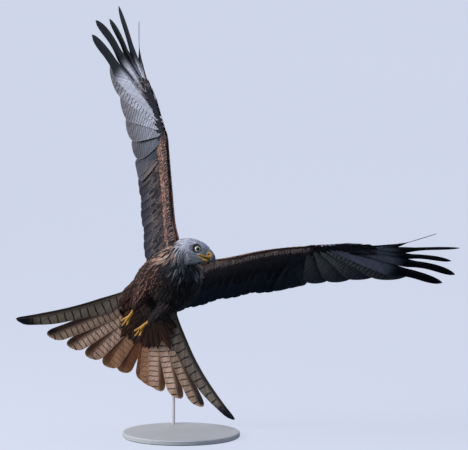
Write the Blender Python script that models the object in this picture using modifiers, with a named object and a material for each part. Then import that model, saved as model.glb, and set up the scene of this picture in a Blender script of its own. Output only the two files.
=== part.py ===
"""Red kite banking in flight, on a display stand. Life size, metres, +Z up.

The bird is modelled in its own frame (X to its right, Y forward, Z towards its
back) and then turned and lifted onto the stand. Lengths in the tables below are
centimetres, the unit that bird measurements are given in, and angles are degrees.
"""

import math

import bmesh
import bpy
import numpy as np
from mathutils import Matrix, Vector

CM = 0.01
GAP = 0.0003

# How the bird hangs in the air above the centre of the stand's foot.
HEADING = 210.0
PITCH = 37.0
BANK = -50.0
BIRD_AT = (-2.0, -12.0, 39.5)

# Trunk: distance forward, half width, height above and depth below its axis.
TRUNK = ((-12.0, 6.0, 2.2, 2.6), (-9.0, 6.4, 2.9, 3.6), (-5.0, 7.3, 3.9, 4.9),
         (0.0, 7.4, 4.7, 5.8), (5.0, 6.4, 4.8, 5.6), (8.5, 5.3, 4.4, 4.7))
# The rump bends aside with the tail, by this much at the trunk's end.
RUMP_BEND = 1.2
TRUNK_SIDES = 18
TRUNK_RINGS = 12

# Head: turned to look over the left wing and kept level while the body banks.
HEAD_AT = (0.3, 12.9, 0.7)
HEAD_TURN = 70.0
HEAD_NOD = 1.0
HEAD_ROLL = 42.0
# Distance forward of the brain case, half width, height above, depth below.
SKULL = ((-3.6, 0.5, 0.6, 0.6), (-3.2, 1.5, 1.25, 1.5), (-2.2, 2.2, 1.8, 2.2),
         (-0.6, 2.45, 2.25, 2.4), (1.0, 2.1, 2.35, 2.1), (2.4, 1.6, 2.2, 1.85),
         (3.5, 1.05, 1.75, 1.5))
# Upper bill: forward, up, half width and half height of each section.
CULMEN = ((3.55, 0.2, 0.82, 1.2), (4.3, 0.1, 0.70, 0.98), (5.0, -0.12, 0.52, 0.66),
          (5.5, -0.66, 0.36, 0.44), (5.95, -1.3, 0.19, 0.24), (6.2, -1.95, 0.06, 0.07))
MANDIBLE = ((3.55, -1.24, 0.62, 0.19), (4.4, -1.24, 0.50, 0.20), (5.05, -1.20, 0.24, 0.12))
BILL_SIDES = 12
EYE_RADIUS = 0.92
EYE_AT = (1.12, 1.2, 0.25)
# Neck: half width, height above and depth below at its start, middle and end, and
# where it ends inside the head.
NECK = ((4.9, 4.2, 2.3), (4.2, 4.2, 2.5), (4.7, 4.3, 2.4))
NECK_END = (0.0, -1.3, -0.4)

# Wings: (dihedral, sweep, twist) of the arm and of the hand, for each side.
SHOULDER = (4.5, 7.0, 2.5)
ARM_LENGTH = 26.5
ARM_POSE = {1: (48.0, 18.5, -8.0), -1: (51.5, 17.0, -4.0)}
HAND_POSE = {1: (45.0, -3.5, -3.5), -1: (47.0, 6.0, -0.5)}
# Chord at the shoulder and at the wrist, and how far the arm arches upwards.
ARM_CHORD = {1: (21.5, 23.5), -1: (25.5, 24.0)}
ARM_ARCH = {1: 0.0, -1: 1.1}
ARM_FAN = (98.0, 92.0)
# The shoulder's feathers widen the arm: how much at its root, and over what share of it.
SHOULDER_BULGE = {1: (2.3, 0.16), -1: (2.8, 0.20)}
SECONDARIES = 14
# Primaries 1 to 10: length, angle from the hand, lift out of the wing's plane,
# bow towards the leading edge and sag below the line from root to tip.
PRIMARIES = ((25.0, 71.0, 6.5, 0.0, -0.8), (26.0, 61.0, 6.5, 0.0, -0.8),
             (27.5, 51.0, 5.0, 0.2, -0.6), (29.5, 40.5, 3.5, 0.4, -0.3),
             (33.5, 31.0, 0.5, 0.8, 0.0), (39.5, 24.5, -4.0, 1.2, 0.6),
             (41.0, 21.5, -2.0, 1.6, 0.2), (38.5, 20.0, 2.0, 1.2, 0.5),
             (38.0, 15.0, 4.5, 1.0, 0.8), (29.0, 11.0, 10.0, 0.7, 1.7))
FIRST_QUILL = 1.5
QUILL_STEP = 1.05
# Fingers, primaries 6 to 10: free share of the length, blade width, roll.
FINGERS = {6: (0.37, 3.5, 4.0), 7: (0.38, 3.2, 8.0), 8: (0.40, 2.8, 16.0),
           9: (0.43, 2.4, 22.0), 10: (0.40, 1.9, 26.0)}
BLADE = 0.07
SCALLOP = 0.965

# Tail: fan of twelve feathers, its centre in the bird's frame, its own turn.
TAIL_AT = (0.0, -11.0, 0.3)
TAIL_YAW = -10.0
TAIL_ROLL = -8.5
TAIL_COVERTS = 10.5
COVERTS_WIDTH = (8.0, 8.2, 7.9)
RECTRICES = (29.5, 30.0, 30.3, 31.0, 32.5, 36.5)
SPREAD = {1: (1.5, 7.5, 15.0, 23.0, 31.0, 42.0), -1: (9.0, 11.5, 15.0, 23.5, 32.5, 44.0)}
QUILL_SPACING = {1: 0.9, -1: 0.6}
LEVEL = 0.2
RECTRIX_START = 5.0
OUTWARD_BOW = {1: (0.0, 0.0, 0.1, 0.3, 0.6, 1.0), -1: (0.0, 0.0, 0.1, 0.4, 1.0, 2.0)}

# Legs, drawn up under the tail: knee, ankle and toe root of each side.
LEGS = {1: ((3.4, -3.5, -3.4), (2.6, -10.4, -5.6), (2.5, -12.9, -6.4)),
        -1: ((-3.4, -3.5, -3.4), (-1.9, -10.2, -5.7), (-1.4, -12.6, -6.7))}
# Toes: heading out from straight back, droop, length, then the curl at the end.
TOES = ((-24.0, 12.0, 2.3, 50.0), (0.0, 20.0, 3.0, 45.0), (24.0, 12.0, 2.4, 50.0),
        (8.0, 78.0, 1.7, 60.0))
TOE_RADIUS = 0.34
CLAW_LENGTH = 1.15

# Stand: round foot and a bent rod that rises behind the tail into the back.
FOOT_RADIUS = 14.0
FOOT_THICK = 1.2
ROD_RADIUS = 0.4
ROD_ROUTE = ((-2.0, 11.0, FOOT_THICK), (-2.0, 11.4, 2.6), (-2.0, 14.0, 6.0), (-2.0, 15.6, 10.0),
             (-2.0, 14.0, 15.0), (-2.0, 12.0, 20.0), (-1.8, 10.0, 25.0), (-1.0, 8.2, 31.0),
             (0.8, 6.2, 37.0), (2.4, 2.2, 42.0), (2.2, -3.0, 44.0), (0.9, -6.3, 42.5),
             (-0.9, -9.0, 40.6))

COLOURS = {
    "rufous": (0.25, 0.10, 0.05, 0.85, 0.0),
    "grey_head": (0.38, 0.38, 0.40, 0.85, 0.0),
    "flight": (0.06, 0.06, 0.06, 0.7, 0.0),
    "tail": (0.36, 0.22, 0.14, 0.75, 0.0),
    "horn": (0.03, 0.03, 0.03, 0.4, 0.0),
    "cere": (0.80, 0.50, 0.05, 0.5, 0.0),
    "iris": (0.70, 0.66, 0.45, 0.1, 0.0),
    "steel": (0.45, 0.46, 0.48, 0.35, 1.0),
}

for old in list(bpy.data.objects):
    bpy.data.objects.remove(old)

kite = bpy.data.collections.new("red_kite")
cutters = bpy.data.collections.new("cutters")
bpy.context.scene.collection.children.link(kite)
bpy.context.scene.collection.children.link(cutters)


def make_material(name):
    red, green, blue, roughness, metallic = COLOURS[name]
    material = bpy.data.materials.new(name)
    material.use_nodes = True
    shader = material.node_tree.nodes["Principled BSDF"]
    shader.inputs["Base Color"].default_value = (red, green, blue, 1.0)
    shader.inputs["Roughness"].default_value = roughness
    shader.inputs["Metallic"].default_value = metallic
    return material


MATERIALS = {name: make_material(name) for name in COLOURS}

# The empty that turns and lifts everything that belongs to the bird.
bird = bpy.data.objects.new("bird_pose", None)
bird.matrix_world = (Matrix.Translation(Vector(BIRD_AT) * CM)
                     @ Matrix.Rotation(math.radians(HEADING), 4, "Z")
                     @ Matrix.Rotation(math.radians(PITCH), 4, "X")
                     @ Matrix.Rotation(math.radians(BANK), 4, "Y"))
kite.objects.link(bird)


def unit(v):
    return v / np.linalg.norm(v)


def ease(xs, ys, x):
    """Smooth curve through the points (xs, ys), read at x."""
    xs, ys = np.asarray(xs, float), np.asarray(ys, float)
    slopes = np.gradient(ys, xs)
    i = int(np.clip(np.searchsorted(xs, x) - 1, 0, len(xs) - 2))
    step = xs[i + 1] - xs[i]
    t = (x - xs[i]) / step
    return ((1 + 2 * t) * (1 - t) ** 2 * ys[i] + t * (1 - t) ** 2 * step * slopes[i]
            + t * t * (3 - 2 * t) * ys[i + 1] + t * t * (t - 1) * step * slopes[i + 1])


def add_object(name, points, faces, material, parent=bird):
    """Object from points in centimetres, its faces turned outwards."""
    mesh = bpy.data.meshes.new(name)
    mesh.from_pydata([tuple(np.asarray(p) * CM) for p in points], [], faces)
    shape = bmesh.new()
    shape.from_mesh(mesh)
    bmesh.ops.recalc_face_normals(shape, faces=shape.faces)
    shape.to_mesh(mesh)
    shape.free()
    mesh.shade_smooth()
    mesh.materials.append(MATERIALS[material])
    obj = bpy.data.objects.new(name, mesh)
    kite.objects.link(obj)
    obj.parent = parent
    return obj


def loft_faces(rings, strip_caps=False):
    """Faces of a closed loft between rings that all have the same count."""
    count = len(rings[0])
    faces = []
    for i in range(len(rings) - 1):
        for j in range(count):
            k = (j + 1) % count
            faces.append((i * count + j, i * count + k, (i + 1) * count + k, (i + 1) * count + j))
    for first in (0, (len(rings) - 1) * count):
        if strip_caps:
            faces += strip_faces(first, count)
        else:
            faces.append(tuple(first + j for j in range(count)))
    return faces


def strip_faces(first, count):
    """Cap of facing pairs, for a ring whose end isn't flat."""
    faces = [(first, first + 1, first + count - 1)]
    half = count // 2
    for j in range(1, half - 1):
        faces.append((first + j, first + j + 1, first + count - j - 1, first + count - j))
    faces.append((first + half - 1, first + half, first + half + 1))
    return faces


def loft(name, rings, material, strip_caps=False, **options):
    points = [p for ring in rings for p in ring]
    return add_object(name, points, loft_faces(rings, strip_caps), material, **options)


def oval(centre, across, up, half_width, above, below, sides):
    """Ring round centre: half_width across, above on the up side, below on the other."""
    ring = []
    for j in range(sides):
        angle = 2 * math.pi * (j + 0.5) / sides
        height = math.sin(angle) * (above if math.sin(angle) > 0 else below)
        ring.append(centre + across * half_width * math.cos(angle) + up * height)
    return ring


def make_cutter(obj):
    kite.objects.unlink(obj)
    cutters.objects.link(obj)
    obj.hide_render = True
    obj.display_type = "WIRE"


def inflated(source, distance):
    """Cutter that stands proud of source by distance, for a neighbour's clearance."""
    shape = bmesh.new()
    shape.from_mesh(source.data)
    bmesh.ops.triangulate(shape, faces=shape.faces)
    shape.to_mesh(source.data)
    shape.free()
    mesh = source.data.copy()
    normals = [vertex.normal.copy() for vertex in mesh.vertices]
    for vertex, normal in zip(mesh.vertices, normals):
        vertex.co += normal * distance
    cutter = bpy.data.objects.new(source.name + "_cutter", mesh)
    kite.objects.link(cutter)
    cutter.parent = source.parent
    make_cutter(cutter)
    return cutter


def cut(obj, *tools):
    for tool in tools:
        boolean = obj.modifiers.new("clearance", "BOOLEAN")
        boolean.operation = "DIFFERENCE"
        boolean.object = tool


def tube(name, route, radii, material, sides=8, parent=bird, round_ends=True, upright=False):
    """Round bar along route; its ends are rounded, or the first is cut level."""
    route = [np.asarray(p, float) for p in route]
    rings = []
    side = None
    for i, point in enumerate(route):
        ahead = route[min(i + 1, len(route) - 1)] - route[max(i - 1, 0)]
        ahead = np.array((0.0, 0.0, 1.0)) if upright and i == 0 else unit(ahead)
        if side is None:
            side = unit(np.cross(ahead, (0.31, 0.17, 0.93)))
        side = unit(side - ahead * (side @ ahead))
        up = np.cross(ahead, side)
        if round_ends and i == 0:
            rings.append(oval(point - ahead * radii[0] * 0.5, side, up, *(3 * (radii[0] * 0.55,)), sides))
        rings.append(oval(point, side, up, *(3 * (radii[i],)), sides))
        if round_ends and i == len(route) - 1:
            rings.append(oval(point + ahead * radii[i] * 0.5, side, up, *(3 * (radii[i] * 0.55,)), sides))
    return loft(name, rings, material, parent=parent)


def blade(name, axis, across, widths, material, lead=0.25, thick=BLADE):
    """Flat feather: a strip along axis, thickened; lead is the share of the outer vane."""
    points = []
    for point, side, width in zip(axis, across, widths):
        points += [point - side * width * lead, point, point + side * width * (1 - lead)]
    faces = []
    for i in range(len(axis) - 1):
        for j in (0, 1):
            faces.append((3 * i + j, 3 * i + j + 1, 3 * i + j + 4, 3 * i + j + 3))
    obj = add_object(name, points, faces, material)
    shell = obj.modifiers.new("thickness", "SOLIDIFY")
    shell.thickness = thick * CM
    shell.offset = 0.0
    return obj


def trunk_ring(y, sides=TRUNK_SIDES):
    stations = list(zip(*TRUNK))
    half_width, above, below = (ease(stations[0], column, y) for column in stations[1:])
    bend = RUMP_BEND * max(0.0, y / TRUNK[0][0])
    return oval(np.array((bend, y, 0.0)), np.array((1.0, 0, 0)), np.array((0, 0, 1.0)),
                half_width, above, below, sides)


def build_trunk():
    ys = np.linspace(TRUNK[0][0], TRUNK[-1][0], TRUNK_RINGS)
    return loft("trunk", [trunk_ring(y) for y in ys], "rufous")


def head_matrix():
    return (Matrix.Translation(HEAD_AT) @ Matrix.Rotation(math.radians(HEAD_TURN), 4, "Z")
            @ Matrix.Rotation(math.radians(HEAD_NOD), 4, "X")
            @ Matrix.Rotation(math.radians(HEAD_ROLL), 4, "Y"))


def in_head(x, y, z):
    """Point of the head's own frame, in the bird's."""
    return np.array(head_matrix() @ Vector((x, y, z)))


def head_axes():
    turn = np.array(head_matrix().to_3x3())
    return turn[:, 0], turn[:, 1], turn[:, 2]


def build_head():
    right, ahead, up = head_axes()
    columns = list(zip(*SKULL))
    rings = []
    for y in np.concatenate(((SKULL[0][0],), np.linspace(SKULL[1][0], SKULL[-1][0], 10))):
        size = [ease(columns[0], column, y) for column in columns[1:]]
        rings.append(oval(in_head(0, y, 0), right, up, *size, 16))
    return loft("head", rings, "grey_head")


def build_eyes(head):
    for side, word in ((1, "right"), (-1, "left")):
        for name, radius in (("eye_" + word, EYE_RADIUS),
                             ("socket_" + word, EYE_RADIUS + GAP / CM)):
            mesh = bpy.data.meshes.new(name)
            shape = bmesh.new()
            bmesh.ops.create_uvsphere(shape, u_segments=12, v_segments=8, radius=radius * CM)
            centre = in_head(side * EYE_AT[0], EYE_AT[1], EYE_AT[2]) * CM
            bmesh.ops.translate(shape, verts=shape.verts, vec=centre)
            shape.to_mesh(mesh)
            shape.free()
            mesh.shade_smooth()
            mesh.materials.append(MATERIALS["iris"])
            ball = bpy.data.objects.new(name, mesh)
            kite.objects.link(ball)
            ball.parent = bird
        make_cutter(ball)
        cut(head, ball)


def build_bill():
    right, ahead, up = head_axes()
    for name, table, material in (("bill_upper", CULMEN, "horn"), ("bill_lower", MANDIBLE, "horn")):
        line = [np.array((row[0], row[1])) for row in table]
        rings = []
        for i, (y, z, half_width, half_height) in enumerate(table):
            along = unit(line[min(i + 1, len(line) - 1)] - line[max(i - 1, 0)])
            if i == 0:
                along = np.array((1.0, 0.0))
            lift = -along[1] * ahead + along[0] * up
            rings.append(oval(in_head(0, y, z), right, lift, half_width, half_height,
                              half_height, BILL_SIDES))
        loft(name, rings, material)


def build_neck(trunk, head):
    """Short thick neck, from the trunk's front ring into the back of the head."""
    start = np.array((0.0, TRUNK[-1][0] + GAP / CM, 0.0))
    end = in_head(*NECK_END)
    rings = []
    for t in np.linspace(0.0, 1.0, 7):
        turn = math.radians(HEAD_TURN * 0.5 * t)
        across = np.array((math.cos(turn), math.sin(turn), 0.0))
        centre = start + (end - start) * t
        half_width, above, below = (ease((0.0, 0.5, 1.0), row, t) for row in NECK)
        rings.append(oval(centre, across, np.array((0, 0, 1.0)), half_width, above, below,
                          TRUNK_SIDES))
    neck = loft("neck", rings, "grey_head")
    cut(neck, inflated(head, GAP))
    return neck


def span_frame(pose, side):
    """Unit vectors out along the wing, back across it and up through it."""
    dihedral, sweep, twist = (math.radians(a) for a in pose)
    out = np.array((math.cos(dihedral) * math.cos(sweep), math.cos(dihedral) * math.sin(sweep),
                    math.sin(dihedral)))
    back = np.array((0.0, -1.0, 0.0))
    back = unit(back - out * (back @ out))
    up = np.cross(back, out)
    back, up = (math.cos(twist) * back - math.sin(twist) * up,
                math.cos(twist) * up + math.sin(twist) * back)
    mirror = np.array((side, 1.0, 1.0))
    return out * mirror, back * mirror, up * mirror


def primary(number, side):
    """Length, curve from root to tip, and the directions across and through it."""
    out, back, up = span_frame(HAND_POSE[side], side)
    arm_out = span_frame(ARM_POSE[side], side)[0]
    wrist = np.array(SHOULDER) * (side, 1, 1) + arm_out * ARM_LENGTH
    length, fan, lift, bow, sag = PRIMARIES[number - 1]
    fan, lift = math.radians(fan), math.radians(lift)
    flat = math.cos(fan) * out + math.sin(fan) * back
    along = math.cos(lift) * flat + math.sin(lift) * up
    across = math.cos(fan) * back - math.sin(fan) * out
    normal = math.cos(lift) * up - math.sin(lift) * flat
    root = wrist + (FIRST_QUILL + (number - 1) * QUILL_STEP) * out + back

    def curve(s):
        arch = 4 * s * (1 - s)
        return root + along * length * s - (across * bow + normal * sag) * arch

    return length, curve, across, normal


def section(line, normal, half_thick, camber):
    """Wing section on line(0 to 1): thick over the bones, a thin vane behind."""
    upper, lower = [], []
    for v in (0.04, 0.14, 0.32, 0.6, 1.0):
        swell = half_thick * 4.5 * math.sqrt(v) * max(0.0, 1 - v / 0.62) ** 2
        middle = line(v) + normal * camber * 4 * v * (1 - v)
        upper.append(middle + normal * (swell * 0.65 + BLADE / 2))
        lower.append(middle - normal * (swell * 0.75 + BLADE / 2))
    return [line(0.0)] + upper + lower[::-1]


def arm_station(share, side, tip_scale):
    out, back, up = span_frame(ARM_POSE[side], side)
    front = np.array(SHOULDER) * (side, 1, 1) + out * ARM_LENGTH * share
    front = front + up * ARM_ARCH[side] * 4 * share * (1 - share)
    fan = math.radians(ARM_FAN[0] + (ARM_FAN[1] - ARM_FAN[0]) * share)
    along = math.cos(fan) * out + math.sin(fan) * back
    most, reach = SHOULDER_BULGE[side]
    bulge = most * math.exp(-(share / reach) ** 2)
    front = front - along * bulge
    chord = ARM_CHORD[side][0] + (ARM_CHORD[side][1] - ARM_CHORD[side][0]) * share + bulge
    half_thick = float(np.interp(share, (0.0, 0.4, 1.0), (1.5, 1.1, 0.8)))
    camber = float(np.interp(share, (0.0, 0.5, 1.0), (1.0, 1.2, 0.8)))
    return section(lambda v: front + along * chord * tip_scale * v, up, half_thick, camber)


def hand_station(index, side):
    """Section along primary index, which may be halfway between two of them."""
    back = span_frame(HAND_POSE[side], side)[1]
    pair = [primary(number, side) for number in (int(math.floor(index)), int(math.ceil(index)))]
    reach = 1.0 if index == int(index) else (SCALLOP if index < 6 else 0.99)
    if index == 10:
        reach = 0.97

    def line(v):
        points = []
        for number, (length, curve, across, normal) in zip((math.floor(index),
                                                            math.ceil(index)), pair):
            free = FINGERS[number][0] if number in FINGERS else 0.0
            front = (1 - v) * back * 1.3 + v * across * (0.5 if index == 10 else 0.0)
            points.append(curve(v * reach * (1 - free)) - front)
        return (points[0] + points[1]) / 2

    normal = unit(pair[0][3] + pair[1][3])
    half_thick = float(np.interp(index, (1, 10), (0.75, 0.2)))
    return section(line, normal, half_thick, 0.0)


def build_wing(side, word, trunk_cutter, neck_cutter):
    shares = [-0.07] + [i / (2 * SECONDARIES) for i in range(2 * SECONDARIES)] + [0.992]
    rings = []
    for i, share in enumerate(shares):
        rings.append(arm_station(share, side, 1.0 if i % 2 == 0 else SCALLOP))
    arm = loft("wing_%s_arm" % word, rings, "flight")
    cut(arm, trunk_cutter, neck_cutter)
    rings = [arm_station(0.996, side, SCALLOP)]
    rings += [hand_station(index / 2, side) for index in range(2, 21)]
    hand = loft("wing_%s_hand" % word, rings, "flight")
    hand_cutter = inflated(hand, GAP)
    for number in FINGERS:
        cut(build_finger(number, side, word), hand_cutter)


def build_finger(number, side, word):
    free, width, roll = FINGERS[number]
    length, curve, across, normal = primary(number, side)
    roll = math.radians(roll)
    start = 1 - free + 0.08 / length
    axis, sides, widths = [], [], []
    for t in np.linspace(0.0, 1.0, 9):
        turn = roll * min(1.0, t * 3)
        axis.append(curve(start + (1 - start) * t))
        sides.append(math.cos(turn) * across + math.sin(turn) * normal)
        narrow = 1 - 0.25 * t
        if t > 0.7:
            narrow *= math.sqrt(max(0.03, 1 - ((t - 0.7) / 0.31) ** 2))
        widths.append(width * narrow)
    return blade("primary_%s_%d" % (word, number), axis, sides, widths, "flight")


def tail_frame():
    turn = (Matrix.Rotation(math.radians(TAIL_YAW), 3, "Z")
            @ Matrix.Rotation(math.radians(-TAIL_ROLL), 3, "Y"))
    turn = np.array(turn)
    return -turn[:, 1], turn[:, 0], turn[:, 2]


def build_tail_coverts():
    """Rump and coverts: from the trunk's end to a flat wedge with a round edge."""
    back, right, up = tail_frame()
    centre = np.array(TAIL_AT)
    first = trunk_ring(TRUNK[0][0])
    sides = len(first)
    rings = [[p - np.array((0, GAP / CM, 0)) for p in first]]
    for t, half_width in zip((0.35, 0.7, 1.0), COVERTS_WIDTH):
        thick = 1.9 - 1.1 * t
        ring = []
        for j in range(sides):
            angle = 2 * math.pi * (j + 0.5) / sides
            across = half_width * math.cos(angle)
            reach = math.sqrt(TAIL_COVERTS ** 2 - across ** 2)
            along = 1.2 + (reach - 1.2) * t
            flat = math.copysign(abs(math.sin(angle)) ** 0.6, math.sin(angle))
            ring.append(centre + back * along + right * across + up * flat * thick)
        rings.append(ring)
    return loft("tail_coverts", rings, "rufous", strip_caps=True)


def build_rectrix(number, side, word, coverts_cutter):
    back, right, up = tail_frame()
    length = RECTRICES[number - 1]
    angle = math.radians(SPREAD[side][number - 1])
    along = math.cos(angle) * back + side * math.sin(angle) * right
    outward = side * math.cos(angle) * right - math.sin(angle) * back
    level = LEVEL * (3.5 - number - (0.5 if side < 0 else 0.0))
    quill = side * QUILL_SPACING[side] * (number - 0.5)
    centre = np.array(TAIL_AT) + up * level + right * quill
    axis, sides, widths = [], [], []
    for t in np.linspace(0.0, 1.0, 9):
        reach = RECTRIX_START + (length - RECTRIX_START) * t
        s = reach / length
        bow = OUTWARD_BOW[side][number - 1] * 4 * s * (1 - s)
        axis.append(centre + along * reach - outward * bow)
        sides.append(-outward)
        full = 2.6 + 2.0 * t
        end = 1.0 if t < 0.8 else math.sqrt(max(0.05, 1 - ((t - 0.8) / 0.21) ** 2))
        widths.append(full * end)
    lead = 0.22 if number > 1 else 0.45
    feather = blade("rectrix_%s_%d" % (word, number), axis, sides, widths, "tail", lead=lead)
    cut(feather, coverts_cutter)


def build_leg(side, word, trunk_cutter, coverts_cutter):
    knee, ankle, toe_root = (np.array(p) for p in LEGS[side])
    shares = np.linspace(0.0, 1.0, 7)
    route = [knee + (ankle - knee) * t + np.array((0, 0, -0.9)) * math.sin(math.pi * t)
             for t in shares]
    radii = [ease((0.0, 0.5, 1.0), (2.3, 1.9, 0.75), t) for t in shares]
    thigh = tube("thigh_" + word, route, radii, "rufous", sides=12)
    cut(thigh, trunk_cutter, coverts_cutter)
    foot = tube("foot_" + word, [ankle, (ankle + toe_root) / 2, toe_root], (0.42, 0.36, 0.46),
                "cere")
    cut(foot, inflated(thigh, GAP))
    for toe, (spread, droop, length, curl) in enumerate(TOES, 1):
        build_toe(foot, toe_root, side, word, toe, spread, droop, length, curl)


def build_toe(foot, root, side, word, toe, spread, droop, length, curl):
    """Toe and claw: the toe is joined to the foot, the claw is its own piece."""
    steps = 5
    heading = math.radians(spread) * side
    point = np.array(root)
    route = [point]
    for i in range(steps):
        dip = math.radians(droop + curl * (i / (steps - 1)) ** 2)
        step = np.array((math.sin(heading) * math.cos(dip), -math.cos(heading) * math.cos(dip),
                         -math.sin(dip)))
        point = point + step * length / steps
        route.append(point)
    radii = [TOE_RADIUS * (1.0 - 0.3 * i / steps) for i in range(steps + 1)]
    flesh = tube("toe_%s_%d" % (word, toe), route, radii, "cere")
    make_cutter(flesh)
    joined = foot.modifiers.new("toe", "BOOLEAN")
    joined.operation = "UNION"
    joined.object = flesh
    tip = route[-1] + step * (radii[-1] * 0.5 + GAP / CM)
    claw_route, claw_radii = [], []
    for i in range(5):
        bend = math.radians(droop + curl + 62.0 * i / 4)
        step = np.array((math.sin(heading) * math.cos(bend), -math.cos(heading) * math.cos(bend),
                         -math.sin(bend)))
        claw_route.append(tip)
        claw_radii.append(TOE_RADIUS * (0.5 - 0.42 * i / 4))
        tip = tip + step * CLAW_LENGTH / 4
    tube("claw_%s_%d" % (word, toe), claw_route, claw_radii, "horn", sides=6, round_ends=False)


def build_stand(trunk):
    bpy.ops.mesh.primitive_cylinder_add(vertices=48, radius=FOOT_RADIUS * CM,
                                        depth=FOOT_THICK * CM,
                                        location=(0, 0, FOOT_THICK * CM / 2))
    base = bpy.context.object
    base.name = "stand_base"
    for collection in list(base.users_collection):
        collection.objects.unlink(base)
    kite.objects.link(base)
    base.data.materials.append(MATERIALS["steel"])
    edge = base.modifiers.new("edge", "BEVEL")
    edge.width = 0.002
    edge.segments = 1
    edge.limit_method = "ANGLE"
    base.data.shade_smooth()
    base.data.set_sharp_from_angle(angle=math.radians(40))
    knots = range(len(ROD_ROUTE))
    lift = np.array((0, 0, GAP / CM))
    route = [lift + [ease(knots, column, share) for column in zip(*ROD_ROUTE)]
             for share in np.linspace(0.0, len(ROD_ROUTE) - 1, 25)]
    tube("stand_rod", route, [ROD_RADIUS] * len(route), "steel", sides=10, parent=None,
         round_ends=False, upright=True)
    drill = tube("drill", route, [ROD_RADIUS + GAP / CM] * len(route), "steel", sides=10,
                 parent=None)
    make_cutter(drill)
    cut(trunk, drill)


def build():
    trunk = build_trunk()
    head = build_head()
    neck = build_neck(trunk, head)
    coverts = build_tail_coverts()
    trunk_cutter = inflated(trunk, GAP)
    neck_cutter = inflated(neck, GAP)
    coverts_cutter = inflated(coverts, GAP)
    build_eyes(head)
    build_bill()
    for side, word in ((1, "right"), (-1, "left")):
        build_wing(side, word, trunk_cutter, neck_cutter)
        for number in range(1, 7):
            build_rectrix(number, side, word, coverts_cutter)
        build_leg(side, word, trunk_cutter, coverts_cutter)
    build_stand(trunk)


build()
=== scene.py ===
# %% [markdown]
# # Red kite banking in flight
# The model is a life-size red kite held in the air by a display stand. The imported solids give
# every place and size. This lesson dresses them: one skin under the plumage, feathers that are
# thin closed meshes lying along it, long wing and tail feathers with shafts and bars, a hooked
# bill, glossy eyes and scaly feet.

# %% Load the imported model
import itertools
import math

import bpy
import numpy as np
from mathutils import Matrix, Vector
from mathutils.bvhtree import BVHTree


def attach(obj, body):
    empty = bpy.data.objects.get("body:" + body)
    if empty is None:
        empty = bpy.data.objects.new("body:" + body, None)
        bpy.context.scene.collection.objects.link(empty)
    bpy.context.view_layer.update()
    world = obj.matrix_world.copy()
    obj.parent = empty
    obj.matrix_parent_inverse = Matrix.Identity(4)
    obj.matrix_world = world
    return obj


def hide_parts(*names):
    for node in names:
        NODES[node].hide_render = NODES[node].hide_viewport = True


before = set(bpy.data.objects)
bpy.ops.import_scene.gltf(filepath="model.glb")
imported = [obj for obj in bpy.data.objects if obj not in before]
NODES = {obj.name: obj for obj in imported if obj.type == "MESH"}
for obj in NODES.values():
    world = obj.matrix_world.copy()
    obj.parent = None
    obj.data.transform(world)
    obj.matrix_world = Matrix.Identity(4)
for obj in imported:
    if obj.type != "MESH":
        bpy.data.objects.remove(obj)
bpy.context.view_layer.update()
SEED = 7
chance = np.random.default_rng(SEED)
print("solids:", len(NODES))

# %% [markdown]
# ## The bird's own frame
# A flying bird banks, so its left and right don't lie along the room's axes. All tables use the
# bird's frame, in centimetres: X to its right, Y towards its bill, Z towards its back. One
# matrix turns that frame into the room's.

# %% Turn between the bird and the room
CM = 0.01
BIRD_AT = Vector((-0.02, -0.12, 0.395))
POSE = (Matrix.Translation(BIRD_AT) @ Matrix.Rotation(math.radians(210), 4, "Z")
        @ Matrix.Rotation(math.radians(37), 4, "X") @ Matrix.Rotation(math.radians(-50), 4, "Y"))
TURN = np.array(POSE.to_3x3())
PLACE = np.array(POSE.translation)


def to_room(points):
    """Bird centimetres to room metres."""
    return np.asarray(points, float) @ TURN.T * CM + PLACE


def to_bird(points):
    """Room metres to bird centimetres."""
    return (np.asarray(points, float) - PLACE) @ TURN / CM


def unit(v):
    """Directions of length 1."""
    v = np.asarray(v, float)
    return v / np.maximum(np.linalg.norm(v, axis=-1, keepdims=True), 1e-9)


def smooth(low, high, x):
    """Eases from 0 where x is low to 1 where x is high; low may be the greater."""
    t = np.clip((np.asarray(x, float) - low) / (high - low), 0.0, 1.0)
    return t * t * (3 - 2 * t)


def through(xs, ys, x):
    """Smooth curve through the points (xs, ys), read at x."""
    xs, ys, x = (np.asarray(a, float) for a in (xs, ys, x))
    slopes = np.gradient(ys, xs)
    i = np.clip(np.searchsorted(xs, x) - 1, 0, len(xs) - 2)
    step = xs[i + 1] - xs[i]
    t = np.clip((x - xs[i]) / step, -0.2, 1.2)
    return ((1 + 2 * t) * (1 - t) ** 2 * ys[i] + t * (1 - t) ** 2 * step * slopes[i]
            + t * t * (3 - 2 * t) * ys[i + 1] + t * t * (t - 1) * step * slopes[i + 1])


# %% [markdown]
# ## Camera
# The photograph was taken from the ground with a long lens. A 400 mm lens from twelve metres
# keeps its flat perspective. The bird, not the camera, is banked, so the camera can stay a
# little above the floor.

# %% Camera
PIXELS_PER_METRE = 425.0
CAMERA_RISE = math.radians(7)
CAMERA_FAR = 12.25
FRAME_WIDE = 468
SENSOR_MM = 36
SEE_FAR = 300
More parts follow.
